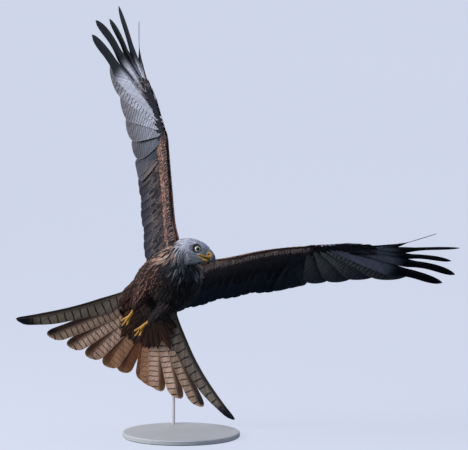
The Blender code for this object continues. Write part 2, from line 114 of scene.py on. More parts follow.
# The trunk's middle sits this many pixels left of the picture's centre and below it.
TRUNK_LEFT, TRUNK_BELOW = 62, 54
LOOK = Vector((0, math.cos(CAMERA_RISE), -math.sin(CAMERA_RISE)))
UP_IN_VIEW = Vector((0, math.sin(CAMERA_RISE), math.cos(CAMERA_RISE)))
aim = (BIRD_AT + Vector((TRUNK_LEFT / PIXELS_PER_METRE, 0, 0))
       + UP_IN_VIEW * (TRUNK_BELOW / PIXELS_PER_METRE))
camera_data = bpy.data.cameras.new("camera")
camera_data.lens = SENSOR_MM * CAMERA_FAR * PIXELS_PER_METRE / FRAME_WIDE
camera_data.sensor_width = SENSOR_MM
camera_data.clip_end = SEE_FAR
bpy.context.scene.view_settings.view_transform = "Standard"
camera = bpy.data.objects.new("camera", camera_data)
bpy.context.scene.collection.objects.link(camera)
camera.location = aim - LOOK * CAMERA_FAR
camera.rotation_euler = LOOK.to_track_quat("-Z", "Y").to_euler()
bpy.context.scene.camera = camera
print("lens in mm:", round(camera_data.lens))

# %% [markdown]
# ## Nodes and colours
# Colours are written as the eye meets them, in sRGB hex, and one function turns them to the
# linear numbers that light works in. One more function adds a node with its settings and
# links, so each material reads from top to bottom.


# %% Colour and node helpers
def linear(hex_colour):
    """An sRGB hex colour as linear red, green and blue."""
    channels = [int(hex_colour[i:i + 2], 16) / 255 for i in (1, 3, 5)]
    return np.array([c / 12.92 if c <= 0.04045 else ((c + 0.055) / 1.055) ** 2.4
                     for c in channels])


def add_node(tree, kind, inputs=None, **settings):
    """Adds a shader node; an input is a value for its socket, or a socket to link into it."""
    node = tree.nodes.new("ShaderNode" + kind)
    for name, value in settings.items():
        setattr(node, name, value)
    for name, value in (inputs or {}).items():
        if isinstance(value, bpy.types.NodeSocket):
            tree.links.new(value, node.inputs[name])
        else:
            node.inputs[name].default_value = value
    return node


def new_material(name):
    material = bpy.data.materials.new(name)
    material.use_nodes = True
    return material, material.node_tree, material.node_tree.nodes["Principled BSDF"]


def rgba(hex_colour, strength=1.0):
    return (*linear(hex_colour) * strength, 1.0)


def finish_surface(tree, shader, colour, height, strength, distance, numbers):
    """Links a colour and a relief into the shader, and sets the numbers of its own sockets."""
    bump = add_node(tree, "Bump", {"Height": height, "Strength": strength, "Distance": distance})
    tree.links.new(colour, shader.inputs["Base Color"])
    tree.links.new(bump.outputs[0], shader.inputs["Normal"])
    for name, value in numbers.items():
        shader.inputs[name].default_value = value


# %% [markdown]
# ## Feather keratin
# A feather is keratin: a shaft, and vanes of fine parallel barbs. It isn't shiny, but barbs
# give a soft sheen and tiny ridges. Real barbs stand 0.3 mm apart, which is finer than the
# picture can show, so they're drawn about 1.5 mm apart. Each vertex carries where it lies on
# its feather, so one material can bar, streak and fringe every feather.


# %% Feather material
KERATIN_IOR = 1.54


def feather_material(name, roughness, barb_depth, barbs_shown, sheen, contrast):
    material, tree, shader = new_material(name)
    tint = add_node(tree, "Attribute", attribute_name="tint")
    rim = add_node(tree, "Attribute", attribute_name="rim")
    vane = add_node(tree, "Attribute", attribute_name="vane")
    mark = add_node(tree, "Attribute", attribute_name="mark")
    place = add_node(tree, "SeparateXYZ", {"Vector": vane.outputs["Vector"]})
    marks = add_node(tree, "SeparateXYZ", {"Vector": mark.outputs["Vector"]})
    across = add_node(tree, "Math", {0: place.outputs["X"]}, operation="ABSOLUTE")
    # Barbs leave the shaft at a slant, so their pattern runs along s minus a part of |u|.
    slant = add_node(tree, "Math", {0: across.outputs[0], 1: -0.22, 2: place.outputs["Y"]},
                     operation="MULTIPLY_ADD")
    barb_at = add_node(tree, "CombineXYZ",
                       {"X": slant.outputs[0], "Y": place.outputs["Z"], "Z": 0.0})
    barbs = add_node(tree, "TexNoise",
                     {"Vector": barb_at.outputs[0], "Scale": barbs_shown, "Detail": 2.0,
                      "Roughness": 0.6})
    clumps = add_node(tree, "TexNoise",
                      {"Vector": barb_at.outputs[0], "Scale": barbs_shown / 6, "Detail": 2.0})
    shade = add_node(tree, "MapRange",
                     {"Value": barbs.outputs["Fac"], "From Min": 0.3, "From Max": 0.7,
                      "To Min": 1 - contrast, "To Max": 1 + 0.85 * contrast})
    patch = add_node(tree, "MapRange",
                     {"Value": clumps.outputs["Fac"], "From Min": 0.3, "From Max": 0.7,
                      "To Min": 0.85, "To Max": 1.15})
    both = add_node(tree, "Math", {0: shade.outputs[0], 1: patch.outputs[0]},
                    operation="MULTIPLY")
    # Dark shaft streak: strongest along the middle of the vane.
    middle = add_node(tree, "MapRange",
                      {"Value": across.outputs[0], "From Min": 0.22, "From Max": 0.66,
                       "To Min": 1.0, "To Max": 0.0}, interpolation_type="SMOOTHSTEP")
    streak = add_node(tree, "Math", {0: middle.outputs[0], 1: marks.outputs["Z"]},
                      operation="MULTIPLY")
    dark = add_node(tree, "Mix",
                    {"Factor": streak.outputs[0], "A": tint.outputs["Color"], "B": rgba("#0e0e13")},
                    data_type="RGBA")
    # Bars: a wave along the slanted barbs, as many to the feather as the attribute says.
    tilt = add_node(tree, "Math", {0: across.outputs[0], 1: -0.035, 2: place.outputs["Y"]},
                    operation="MULTIPLY_ADD")
    wave = add_node(tree, "Math", {0: tilt.outputs[0], 1: marks.outputs["Y"]},
                    operation="MULTIPLY")
    wobble = add_node(tree, "Math", {0: clumps.outputs["Fac"], 1: 0.45, 2: wave.outputs[0]},
                      operation="MULTIPLY_ADD")
    turned = add_node(tree, "Math", {0: wobble.outputs[0], 1: 2 * math.pi}, operation="MULTIPLY")
    crest = add_node(tree, "Math", {0: turned.outputs[0]}, operation="SINE")
    bar = add_node(tree, "MapRange",
                   {"Value": crest.outputs[0], "From Min": 0.72, "From Max": 0.95,
                    "To Min": 0.0, "To Max": 1.0}, interpolation_type="SMOOTHSTEP")
    barred = add_node(tree, "Math", {0: bar.outputs[0], 1: marks.outputs["X"]},
                      operation="MULTIPLY")
    with_bars = add_node(tree, "Mix",
                         {"Factor": barred.outputs[0], "A": dark.outputs["Result"],
                          "B": rgba("#14161c")}, data_type="RGBA")
    # Fringe: the vane's worn or pale border, as wide as the rim's alpha says.
    tip = add_node(tree, "MapRange",
                   {"Value": place.outputs["Y"], "From Min": 0.6, "From Max": 1.0,
                    "To Min": 0.0, "To Max": 1.0})
    border = add_node(tree, "Math", {0: across.outputs[0], 1: tip.outputs[0]},
                      operation="MAXIMUM")
    inside = add_node(tree, "Math", {0: 1.0, 1: rim.outputs["Alpha"]}, operation="SUBTRACT")
    over = add_node(tree, "Math", {0: border.outputs[0], 1: inside.outputs[0]},
                    operation="SUBTRACT")
    fringe = add_node(tree, "MapRange",
                      {"Value": over.outputs[0], "From Min": 0.0, "From Max": 0.12,
                       "To Min": 0.0, "To Max": 1.0})
    edged = add_node(tree, "Mix",
                     {"Factor": fringe.outputs[0], "A": with_bars.outputs["Result"],
                      "B": rim.outputs["Color"]}, data_type="RGBA")
    final = add_node(tree, "VectorMath",
                     {0: edged.outputs["Result"], "Scale": both.outputs[0]}, operation="SCALE")
    finish_surface(tree, shader, final.outputs[0], barbs.outputs["Fac"], barb_depth, 0.0006,
                   {"Roughness": roughness, "IOR": KERATIN_IOR, "Specular IOR Level": 0.14,
                    "Sheen Weight": sheen, "Sheen Roughness": 0.4})
    return material


soft_keratin = feather_material("contour_feather_keratin", 0.80, 0.5, 16.0, 0.08, 0.30)
stiff_keratin = feather_material("flight_feather_keratin", 0.62, 0.35, 52.0, 0.03, 0.38)
print("feather materials ready")

# %% [markdown]
# ## A feather as a closed mesh
# Every feather is a thin closed leaf: a grid that follows its midline, an outer face and an
# inner face, joined round the edge. All feathers of one kind share one grid, so numpy makes
# thousands of them at once. `grow` takes midlines and widths and returns arrays, and
# `plumage_piece` joins batches of arrays into one mesh object.


# %% Grow feathers from midlines
TUFT_PATCH = (0.003, 0.003)
CRISP_EDGE = math.radians(55)


def grow(mid, side, up, lead, trail, tint, rim, mark, patch, cup, thick, columns=5,
         tint_inner=None, patch_size=TUFT_PATCH):
    """mid, side, up: (n, stations, 3). lead, trail: half widths (n, stations), in cm.

    tint, rim and mark colour the outer face, patch is each feather's place on the bake map.
    """
    count, stations = mid.shape[:2]
    u = np.linspace(-1.0, 1.0, columns)
    width = np.where(u[None, None, :] < 0, lead[:, :, None], trail[:, :, None])
    out = (mid[:, :, None] + side[:, :, None] * (u * width)[..., None]
           - up[:, :, None] * (cup * u ** 2 * width)[..., None])
    body = np.sqrt(np.clip(1 - u ** 2, 0, 1))[None, None, :, None]
    inner = out - up[:, :, None] * thick * body
    grid = np.arange(stations * columns).reshape(stations, columns)
    under = grid.copy()
    inside = grid[1:-1, 1:-1].size
    under[1:-1, 1:-1] = stations * columns + np.arange(inside).reshape(stations - 2, columns - 2)
    points = np.concatenate((out.reshape(count, -1, 3),
                             inner[:, 1:-1, 1:-1].reshape(count, -1, 3)), axis=1)
    quads, corner = [], []
    for layer, flip in ((grid, False), (under, True)):
        a, b = layer[:-1, :-1].ravel(), layer[:-1, 1:].ravel()
        c, d = layer[1:, 1:].ravel(), layer[1:, :-1].ravel()
        quads.append(np.stack((a, d, c, b) if flip else (a, b, c, d), axis=1))
        a, b = grid[:-1, :-1].ravel(), grid[:-1, 1:].ravel()
        c, d = grid[1:, 1:].ravel(), grid[1:, :-1].ravel()
        corner.append(np.stack((a, d, c, b) if flip else (a, b, c, d), axis=1))
    if np.linalg.det(np.stack((side[0, 0], mid[0, 1] - mid[0, 0], up[0, 0]))) < 0:
        quads = [q[:, ::-1] for q in quads]
        corner = [c[:, ::-1] for c in corner]
    inner_tint = tint if tint_inner is None else tint_inner
    shape = (count, stations, columns)
    outer_tint, inner_tint, rim, mark = (
        np.broadcast_to(t, shape + (t.shape[-1],)).reshape(count, -1, t.shape[-1])
        for t in (tint, inner_tint, rim, mark))
    s = np.linspace(0, 1, stations)
    vane = np.empty(shape + (3,))
    vane[..., 0], vane[..., 1] = u, s[None, :, None]
    # A number of its own keeps each feather's barbs and blotches unlike its neighbours'.
    vane[..., 2] = chance.uniform(0, 50, count)[:, None, None]
    total = points.shape[1]
    faces = np.concatenate(quads)[None] + (np.arange(count) * total)[:, None, None]
    both = np.concatenate(corner)
    half = len(corner[0])
    tints = np.concatenate((outer_tint[:, both[:half]], inner_tint[:, both[half:]]), axis=1)
    vane = vane.reshape(count, -1, 3)[:, both]
    uv = np.empty(vane.shape[:-1] + (2,))
    uv[..., 0] = (vane[..., 0] + 1) / 2 * patch_size[0] + patch[:, None, None, 0]
    uv[..., 1] = vane[..., 1] * patch_size[1] + patch[:, None, None, 1]
    if tint_inner is not None:
        # Where the two faces differ in colour, each has a patch of its own.
        uv[:, half:, :, 0] += patch_size[0]
    return {"points": points.reshape(-1, 3), "faces": faces.reshape(-1, 4),
            "tint": tints.reshape(-1, 3), "rim": rim[:, both].reshape(-1, 4),
            "mark": mark[:, both].reshape(-1, 3), "vane": vane.reshape(-1, 3),
            "uv": uv.reshape(-1, 2)}


def per_feather(values):
    """One row of numbers for each feather, shaped to spread over its grid."""
    return np.asarray(values)[:, None, None]


def dress(piece, material, slot, *replaced):
    """Gives a piece its material and smooth shading, hangs it on the root, and hides the imported
    solids that it replaces.
    """
    piece.data.materials.clear()
    piece.data.materials.append(material)
    piece.data.shade_smooth()
    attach(piece, "root")
    if replaced:
        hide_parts(*replaced)
    return piece


def plumage_piece(name, batches, material, slot, replaced=()):
    """Joins batches of feathers into one piece with its attributes and its bake map."""
    start, parts = 0, []
    for batch in batches:
        parts.append(batch["faces"] + start)
        start += len(batch["points"])
    faces = np.concatenate(parts).astype(np.int32)
    points = to_room(np.concatenate([b["points"] for b in batches]))
    mesh = bpy.data.meshes.new(name)
    mesh.vertices.add(len(points))
    mesh.vertices.foreach_set("co", points.ravel())
    mesh.loops.add(faces.size)
    mesh.loops.foreach_set("vertex_index", faces.ravel())
    mesh.polygons.add(len(faces))
    mesh.polygons.foreach_set("loop_start", np.arange(0, faces.size, 4, dtype=np.int32))
    mesh.update(calc_edges=True)
    for key, kind, field in (("tint", "FLOAT_COLOR", "color"), ("rim", "FLOAT_COLOR", "color"),
                             ("mark", "FLOAT_VECTOR", "vector"),
                             ("vane", "FLOAT_VECTOR", "vector")):
        values = np.concatenate([b[key] for b in batches])
        if key == "tint":
            values = np.concatenate((values, np.ones((len(values), 1))), axis=1)
        layer = mesh.attributes.new(key, kind, "CORNER")
        layer.data.foreach_set(field, np.ascontiguousarray(values, np.float32).ravel())
    flat = np.clip(np.concatenate([b["uv"] for b in batches]), 0.0, 1.0)
    mesh.uv_layers.new(name="OFBake").data.foreach_set("uv", flat.astype(np.float32).ravel())
    piece = bpy.data.objects.new(name, mesh)
    bpy.context.scene.collection.objects.link(piece)
    dress(piece, material, slot, *replaced)
    # The thin edge between a feather's two faces stays crisp, so that light doesn't roll round it.
    mesh.set_sharp_from_angle(angle=CRISP_EDGE)
    print(name, "triangles:", 2 * len(faces))


# %% [markdown]
# ## The wing as a surface
# A wing is an arm and a hand at two angles, with feathers fanning from both. The same pose
# tables as the solids' give a surface: q runs from the shoulder (0) over the wrist (1) to the
# tenth primary (11), and v runs from the leading edge (0) to the trailing edge (1).

# %% Wing pose
# Poses are dihedral, sweep and twist in degrees. Tables by side: 1 is right, -1 is left.
SHOULDER = np.array((4.5, 7.0, 2.5))
ARM_LENGTH = 26.5
ARM_POSE = {1: (48.0, 18.5, -8.0), -1: (51.5, 17.0, -4.0)}
HAND_POSE = {1: (45.0, -3.5, -3.5), -1: (47.0, 6.0, -0.5)}
# Chord at shoulder and wrist, and how far the forearm arches up between them.
ARM_CHORD = {1: (21.5, 23.5), -1: (25.5, 24.0)}
ARM_ARCH = {1: 0.0, -1: 1.1}
ARM_FAN = (98.0, 92.0)
# How far the leading edge stands out at the shoulder, and over what share of the arm it fades.
SHOULDER_BULGE = {1: (2.3, 0.16), -1: (2.8, 0.20)}
# Primaries 1 to 10: length, fan angle, lift, bow to the leading edge, sag.
PRIMARIES = ((25.0, 71.0, 6.5, 0.0, -0.8), (26.0, 61.0, 6.5, 0.0, -0.8),
             (27.5, 51.0, 5.0, 0.2, -0.6), (29.5, 40.5, 3.5, 0.4, -0.3),
             (33.5, 31.0, 0.5, 0.8, 0.0), (39.5, 24.5, -4.0, 1.2, 0.6),
             (41.0, 21.5, -2.0, 1.6, 0.2), (38.5, 20.0, 2.0, 1.2, 0.5),
             (38.0, 15.0, 4.5, 1.0, 0.8), (29.0, 11.0, 10.0, 0.7, 1.7))
# Share of each primary that stands free as a finger, and for the five fingers: where the vane
# starts to narrow, its width, its bow past the hand and its roll.
FREE_SHARE = (0.0, 0.0, 0.0, 0.0, 0.0, 0.37, 0.38, 0.40, 0.43, 0.40)
FINGER_STARTS = (0.62, 0.61, 0.58, 0.55, 0.46)
FINGER_WIDTHS = (3.4, 3.2, 2.9, 2.7, 2.0)
FINGER_BOWS = (0.45, 0.8, 0.7, 0.45, 0.5)
FINGER_ROLLS = {1: (4.0, 5.0, 6.0, 2.0, 20.0), -1: (4.0, 7.0, 11.0, 13.0, 24.0)}
FIRST_QUILL, QUILL_STEP = 1.5, 1.05
SECONDARIES = 14


def span_frame(pose, side):
    """Directions out along a wing bone, back across it and up from it."""
    dihedral, sweep, twist = (math.radians(a) for a in pose)
    out = np.array((math.cos(dihedral) * math.cos(sweep),
                    math.cos(dihedral) * math.sin(sweep), math.sin(dihedral)))
    back = np.array((0.0, -1.0, 0.0))
    back = unit(back - out * (back @ out))
    up = np.cross(back, out)
    back, up = (math.cos(twist) * back - math.sin(twist) * up,
                math.cos(twist) * up + math.sin(twist) * back)
    mirror = np.array((side, 1.0, 1.0))
    return out * mirror, back * mirror, up * mirror


def primary(number, side):
    """Curve from root to tip, direction across it (backwards) and normal."""
    out, back, up = span_frame(HAND_POSE[side], side)
    wrist = SHOULDER * (side, 1, 1) + span_frame(ARM_POSE[side], side)[0] * ARM_LENGTH
    length, fan, lift, bow, sag = PRIMARIES[number - 1]
    fan, lift = math.radians(fan), math.radians(lift)
    flat = math.cos(fan) * out + math.sin(fan) * back
    along = math.cos(lift) * flat + math.sin(lift) * up
    across = math.cos(fan) * back - math.sin(fan) * out
    normal = math.cos(lift) * up - math.sin(lift) * flat
    root = wrist + (FIRST_QUILL + (number - 1) * QUILL_STEP) * out + back

    def curve(s):
        s = np.asarray(s, float)[..., None]
        return root + along * length * s - (across * bow + normal * sag) * 4 * s * (1 - s)

    return curve, across, normal


def arm_line(side, q, v):
    """Point and normal of the arm's middle surface, v of a chord behind the leading edge."""
    out, back, up = span_frame(ARM_POSE[side], side)
    front = SHOULDER * (side, 1, 1) + out * ARM_LENGTH * q
    front = front + up * ARM_ARCH[side] * 4 * q * (1 - q)
    fan = math.radians(ARM_FAN[0] + (ARM_FAN[1] - ARM_FAN[0]) * q)
    along = math.cos(fan) * out + math.sin(fan) * back
    most, fall = SHOULDER_BULGE[side]
    bulge = most * math.exp(-(q / fall) ** 2)
    front = front - along * bulge
    chord = ARM_CHORD[side][0] + (ARM_CHORD[side][1] - ARM_CHORD[side][0]) * q + bulge
    return front + along * chord * v, up


def hand_line(side, index, v):
    """Point and normal of the hand's middle surface, between the primaries by index."""
    back = span_frame(HAND_POSE[side], side)[1]
    low = int(min(math.floor(index), 9))
    found = []
    for number in (low, low + 1):
        curve, across, normal = primary(number, side)
        edge = 0.5 if number == 10 else 0.0
        front = (1 - v) * back * 1.3 + v * across * edge
        found.append((curve(v * (1 - FREE_SHARE[number - 1])) - front, normal))
    t = index - low
    return (found[0][0] * (1 - t) + found[1][0] * t,
            unit(found[0][1] * (1 - t) + found[1][1] * t))


def wing_point(side, q, v, face):
    """Point of the wing's surface; face is 1 above, -1 below and 0 in its middle."""
    if q <= 1:
        point, normal = arm_line(side, q, v)
    elif q < 2:
        (a, up_a), (b, up_b) = arm_line(side, 1.0, v), hand_line(side, 1.0, v)
        point, normal = a + (b - a) * (q - 1), unit(up_a + (up_b - up_a) * (q - 1))
    else:
        point, normal = hand_line(side, q - 1, v)
    # Half thickness of the muscle, height of the camber, and how far the muscle swells here.
    half = np.interp(q, (0, 0.4, 1, 2, 11), (1.5, 1.1, 0.8, 0.75, 0.2))
    camber = np.interp(q, (0, 0.5, 1, 2, 3), (1.0, 1.2, 0.8, 0.3, 0.0))
    swell = half * 4.5 * math.sqrt(max(v, 0.0)) * max(0.0, 1 - v / 0.62) ** 2
    swell = min(swell, half)
    lift = camber * 4 * v * (1 - v) + face * (swell * (0.65 if face > 0 else 0.75) + 0.035)
    return point + normal * lift


def wing_normal(side, q, v, face):
    """The surface's normal there, and the direction along the wing."""
    low_q, high_q = max(q - 0.02, 0.0), min(q + 0.02, 11.0)
    low_v, high_v = max(v - 0.01, 0.003), v + 0.01
    spanwise = wing_point(side, high_q, v, face) - wing_point(side, low_q, v, face)
    chordwise = wing_point(side, q, high_v, face) - wing_point(side, q, low_v, face)
    normal = unit(np.cross(chordwise, spanwise)) * side
    return normal * (1 if face > 0 else -1), unit(spanwise)


print("wrist of the right wing:", np.round(to_room(wing_point(1, 1.0, 0.0, 0)), 3))

# %% [markdown]
# ## Flight feathers
# The long feathers carry the bird. Seen from below each overlaps its inner neighbour, so the
# pale hind edge of every vane shows as a scalloped line. The outer five primaries are notched
# and stand apart as fingers. Each gets a shaft, a wide inner vane and a narrow outer vane.

# %% Colours of the wing from below and above
NIGHT = linear("#0f141c")
SLATE = linear("#3a404c")
WINDOW = linear("#9ca2b4")
# The next colour is a greenish copy of the pale window, painted on the far wing's primaries as the
# tint of its shade.
WINDOW_IN_SHADE = linear("#b9bcae")
ASH = linear("#85868e")
PALE_EDGE = linear("#d6ccc6")
UPPER_DARK = linear("#241c1a")
SHAFT = linear("#8f8b89")
TAIL_SHAFT = linear("#6a5144")


def rgb(values, *shape):
    """One colour spread over an array of the given shape."""
    return np.broadcast_to(np.asarray(values, float), shape + (3,)).copy()


def mix(a, b, t):
    t = np.asarray(t, float)[..., None]
    return a * (1 - t) + b * t


def with_alpha(colour, alpha):
    """A rim: its colour, and in the alpha how wide it is."""
    made = np.empty((1, 1, 1, 4))
    made[..., :3] = colour
    made[..., 3] = alpha
    return made


# %% One flight feather
def flight_feather(points, side_dir, up_dir, lead, trail, under, over, rim, mark, column, columns):
    """points, side_dir and up_dir are (stations, 3); under and over are (stations, n, 3)."""
    return grow(points[None], side_dir[None], up_dir[None], lead[None], trail[None],
                tint=over[None], tint_inner=under[None], rim=rim, mark=mark, cup=0.04,
                thick=0.05, columns=under.shape[1],
                patch=np.array([[2 * column / columns, 0.0]]),
                patch_size=(0.98 / columns, 0.99))


def shaft_of(points, up_dir, radius, colour, column, columns):
    """The rachis: a tapered ridge that stands a little proud on both faces of the vane."""
    stations = len(points)
    along = unit(np.gradient(points, axis=0))
    side_dir = unit(np.cross(along, up_dir))
    width = radius * np.linspace(1.0, 0.15, stations)
    tint = rgb(colour, 1, 1, 1)
    return grow(points[None] + up_dir[None] * 0.02, side_dir[None], up_dir[None], width[None],
                width[None], tint=tint, rim=with_alpha(colour, 0.0),
                mark=np.zeros((1, 1, 1, 3)), cup=0.0, thick=radius * 1.6, columns=3,
                patch=np.array([[2 * column / columns, 0.995]]), patch_size=(0.01, 0.004))


STATIONS = 41
COLUMNS = 9
THIN = 0.02
SHAFT_RADIUS = 0.08
along_s = np.linspace(0, 1, STATIONS)
across_u = np.linspace(-1, 1, COLUMNS)


def rounded(x, start, reach):
    """1 as far as start, then down a quarter of an ellipse to 0 within reach."""
    return np.sqrt(np.clip(1 - (np.clip(x - start, 0, 1) / reach) ** 2, 0, 1))


def rolled(across, normal, angle):
    """A feather's crosswise direction and its normal, rolled about the shaft, per station."""
    angle = angle[:, None]
    return (np.cos(angle) * across + np.sin(angle) * normal,
            np.cos(angle) * normal - np.sin(angle) * across)


def blade_widths(number, side):
    """Half widths of a primary's outer and inner vane, in cm."""
    s = along_s
    curve, across, _ = primary(number, side)
    inner_curve, _, _ = primary(max(number - 1, 1), side)
    # The inner vane reaches past the next feather's shaft, so that no light comes between.
    gap = (inner_curve(s) - curve(s)) @ across if number > 1 else 1.0 + 5.0 * s
    root = smooth(-0.02, 0.10, s)
    if number <= 5:
        lead = (0.35 + 0.85 * root) * rounded(s, 0.86, 0.142)
        trail = np.clip(gap, 0.8, 4.8 - 0.3 * (number == 5)) + 0.7 * root
        trail = trail * rounded(s, 0.62, 0.382)
    else:
        start = FINGER_STARTS[number - 6]
        t = np.clip((s - start - 0.02) / (1 - start - 0.02), 0, 1)
        full = FINGER_WIDTHS[number - 6] * (1 - 0.2 * t)
        full = full * rounded(t, 0.55, 0.452)
        narrow = smooth(start - 0.07, start + 0.05, s)
        lead = (0.3 + 0.35 * root) * (1 - narrow) + 0.22 * full * narrow
        most = 1.0 if number == 10 else 4.5
        trail = (np.clip(gap, 0.8, most) + 0.7 * root) * (1 - narrow) + 0.78 * full * narrow
    return np.maximum(lead, THIN), np.maximum(trail, THIN)


def primary_colours(number, side):
    """Colours of a primary's underside and upper side, over its grid."""
    s, u = along_s[:, None], across_u[None, :]
    free = 1 - FREE_SHARE[number - 1]
    if number <= 5:
        fade = smooth(0.45, 1.0, s + 0.15 * u)
        # The far wing's window gets the greenish painted-shade copy.
        pale = WINDOW if side > 0 else WINDOW_IN_SHADE
        under = mix(pale * (0.78 + 0.045 * number), ASH * (0.56 if side > 0 else 0.60), fade)
        # Next to the secondaries the pale patch gives way to their dark grey.
        dusk = (0.85, 0.55, 0.25, 0.06, 0.0) if side > 0 else (0.80, 0.25, 0.05, 0.0, 0.0)
        dusk = np.clip(dusk[number - 1] * (1.25 - 0.5 * s + 0.25 * u), 0, 1)
        under = mix(under, SLATE * (0.6, 0.65, 0.75), dusk)
        under = mix(under, SLATE, 0.8 * smooth(0.90, 1.0, s + 0 * u) * (number > 3))
    else:
        edge = free - 0.10 - 0.012 * (number - 6)
        under = mix(WINDOW, NIGHT, smooth(edge - 0.10, edge + 0.05, s - 0.05 * u))
        outer = 0.6 if number < 10 else 1.0
        under = mix(under, NIGHT, outer * smooth(0.0, 0.3, -u) + 0 * s)
    over = rgb(UPPER_DARK, STATIONS, COLUMNS) * (1.0 if number > 5 else 1.25)
    return under, over


def lay_primary(number, side, column, columns):
    """Vane and shaft of one primary; column is its place on the bake map."""
    curve, across, normal = primary(number, side)
    points = curve(along_s)
    free = 1 - FREE_SHARE[number - 1]
    if number > 5:
        t = np.clip((along_s - free) / (1 - free), 0, 1)
        points = points - across * (FINGER_BOWS[number - 6] * 4 * t * (1 - t))[:, None]
    roll = FINGER_ROLLS[side][number - 6] if number > 5 else 0.0
    # In the closed part the hind edge hangs a little, so that feathers overlap like slates.
    angle = np.radians(-3.0 * (1 - smooth(free - 0.2, free, along_s))
                       + roll * smooth(free - 0.1, free + 0.15, along_s))
    side_dir, up_dir = rolled(across, normal, angle)
    lead, trail = blade_widths(number, side)
    under, over = primary_colours(number, side)
    bars = 0.9 if number <= 5 else 0.15
    # On the far wing the pale inner edges are painted twice as wide, as painted light shining
    # through the thin vanes in its shade, and in a darker colour, as painted shade.
    edge = 0.04 if side > 0 else 0.08
    rim = with_alpha(PALE_EDGE * (0.7 if side > 0 else 0.45), edge if number <= 5 else 0.0)
    mark = np.zeros((1, STATIONS, 1, 3))
    mark[..., 0] = bars * (1 - smooth(free - 0.2, free, along_s))[None, :, None] + 0.04
    mark[..., 1] = 19.0
    vane = flight_feather(points, side_dir, up_dir, lead, trail, under, over, rim, mark,
                          column, columns)
    shade = SHAFT if number < 6 else mix(SHAFT, NIGHT, 0.8)
    return [vane, shaft_of(points, up_dir, SHAFT_RADIUS, shade, column, columns)]


# %% Secondaries
def lay_secondary(place, side, column, columns):
    """place counts from the body outwards; the last two bridge the gap to the primaries."""
    past = place - SECONDARIES + 1
    q = (place + 0.6) / SECONDARIES if past < 1 else 1.0 + 0.42 * past
    # Feathers of unequal age differ in length, which gives the hind edge its steps.
    step = (0.006, 0.012, -0.004, -0.018)[place % 4]
    v = 0.26 + ((0.765 if side > 0 else 0.76) + step) * along_s
    points = np.array([wing_point(side, q, x, 0) for x in v])
    normal, spanwise = zip(*[wing_normal(side, q, min(x, 0.97), 1) for x in v])
    normal, spanwise = np.array(normal), np.array(spanwise)
    angle = np.radians(-1.0 - 2.0 * smooth(0.5, 1.0, along_s))
    side_dir, up_dir = rolled(-spanwise, normal, angle)
    tip = rounded(along_s, 0.86, 0.142)
    root = smooth(-0.02, 0.10, along_s)
    spread = 2.6 if place < SECONDARIES else 2.6 + 2.6 * along_s
    lead, trail = (0.4 + 0.6 * root) * tip, spread * root * tip ** 0.6
    s, u = along_s[:, None], across_u[None, :]
    near_wrist = smooth(0.86, 1.3, q)
    under = mix(linear("#2b2c38"), linear("#151a26"), smooth(0.45, 1.0, s - 0.35 * u))
    under = under * (1.0, 1.3, 0.75, 1.1, 0.85)[place % 5]
    # The far wing's secondaries are painted as in shade: navy, with a weaker pale wash near the
    # wrist and fainter flecks.
    if side < 0:
        under = mix(under, linear("#21374a"), 0.75)
    under = mix(under, ASH * 0.35, (0.7 if side > 0 else 0.15) * near_wrist + 0 * s + 0 * u)
    # Paler flecks along the inner vane, feather by feather.
    fleck = smooth(0.1, 0.8, u + 0 * s) * smooth(0.98, 0.55, s + 0 * u)
    under = mix(under, linear("#8a7d76"),
                (0.38 if side > 0 else 0.12) * fleck * (0.5 + 0.5 * (place % 3)) / 1.5)
    over = rgb(UPPER_DARK, STATIONS, COLUMNS) * 1.2
    # The far wing's rim is painted darker, as painted shade.
    rim = with_alpha(linear("#6a6260" if side > 0 else "#3a3c3c"), 0.06)
    mark = np.zeros((1, 1, 1, 3))
    mark[..., 0], mark[..., 1] = 0.6, 15.0
    vane = flight_feather(points, side_dir, up_dir, np.maximum(lead, THIN),
                          np.maximum(trail, THIN), under, over, rim, mark, column, columns)
    return [vane, shaft_of(points, up_dir, 0.07, linear("#4a4747"), column, columns)]


# %% Alula: the thumb's short stiff feathers, along the leading edge beyond the wrist
def lay_alula(side, columns):
    leaves = []
    for place in range(4):
        q = 0.97 + 0.10 * place + (1.9 - 0.25 * place) * along_s
        points = np.array([wing_point(side, x, 0.006 + 0.012 * place, 0) for x in q])
        turned = [wing_normal(side, x, 0.05, -1) for x in q]
        normal = -np.array([found for found, _ in turned])
        way = unit(np.gradient(points, axis=0))
        side_dir = unit(np.cross(way, normal)) * -side
        lift = (0.35 - 0.22 * place) * np.sin(np.pi * np.clip(along_s, 0, 0.9))
        points = points - normal * lift[:, None]
        half = 0.62 * smooth(-0.05, 0.15, along_s) * rounded(along_s, 0.7, 0.302)
        half = np.maximum(half, THIN)
        colour = rgb(mix(linear("#2a2a32"), linear("#6a5550"), 0.5 * (place == 0)),
                     STATIONS, COLUMNS)
        leaves.append(flight_feather(points, side_dir, normal, half, half, colour, colour,
                                     with_alpha(linear("#5d5252"), 0.12),
                                     np.zeros((1, 1, 1, 3)), columns - 1, columns))
    return leaves


WORD = {1: "right", -1: "left"}
for side, word in WORD.items():
    batches = []
    # Two patches of the bake map for each feather, and the last pair for the alula.
    total = 2 * (10 + SECONDARIES + 3)
    for number in range(1, 11):
        batches += lay_primary(number, side, number - 1, total)
    for place in range(SECONDARIES + 2):
        batches += lay_secondary(place, side, 10 + place, total)
    batches += lay_alula(side, total)
    plumage_piece("flight_feathers_" + word, batches, stiff_keratin, "flight",
                  ["primary_%s_%d" % (word, n) for n in range(6, 11)]
                  + ["wing_%s_hand" % word, "wing_%s_arm" % word])

# %% [markdown]
# ## Covert rows
# Rows of smaller feathers clothe the wing like slates, tiny at the leading edge and long where
# they meet the flight feathers. From below the kite shows rufous lesser coverts, then dark
# feathers with pale tips. From above a pale buff band crosses dark brown.

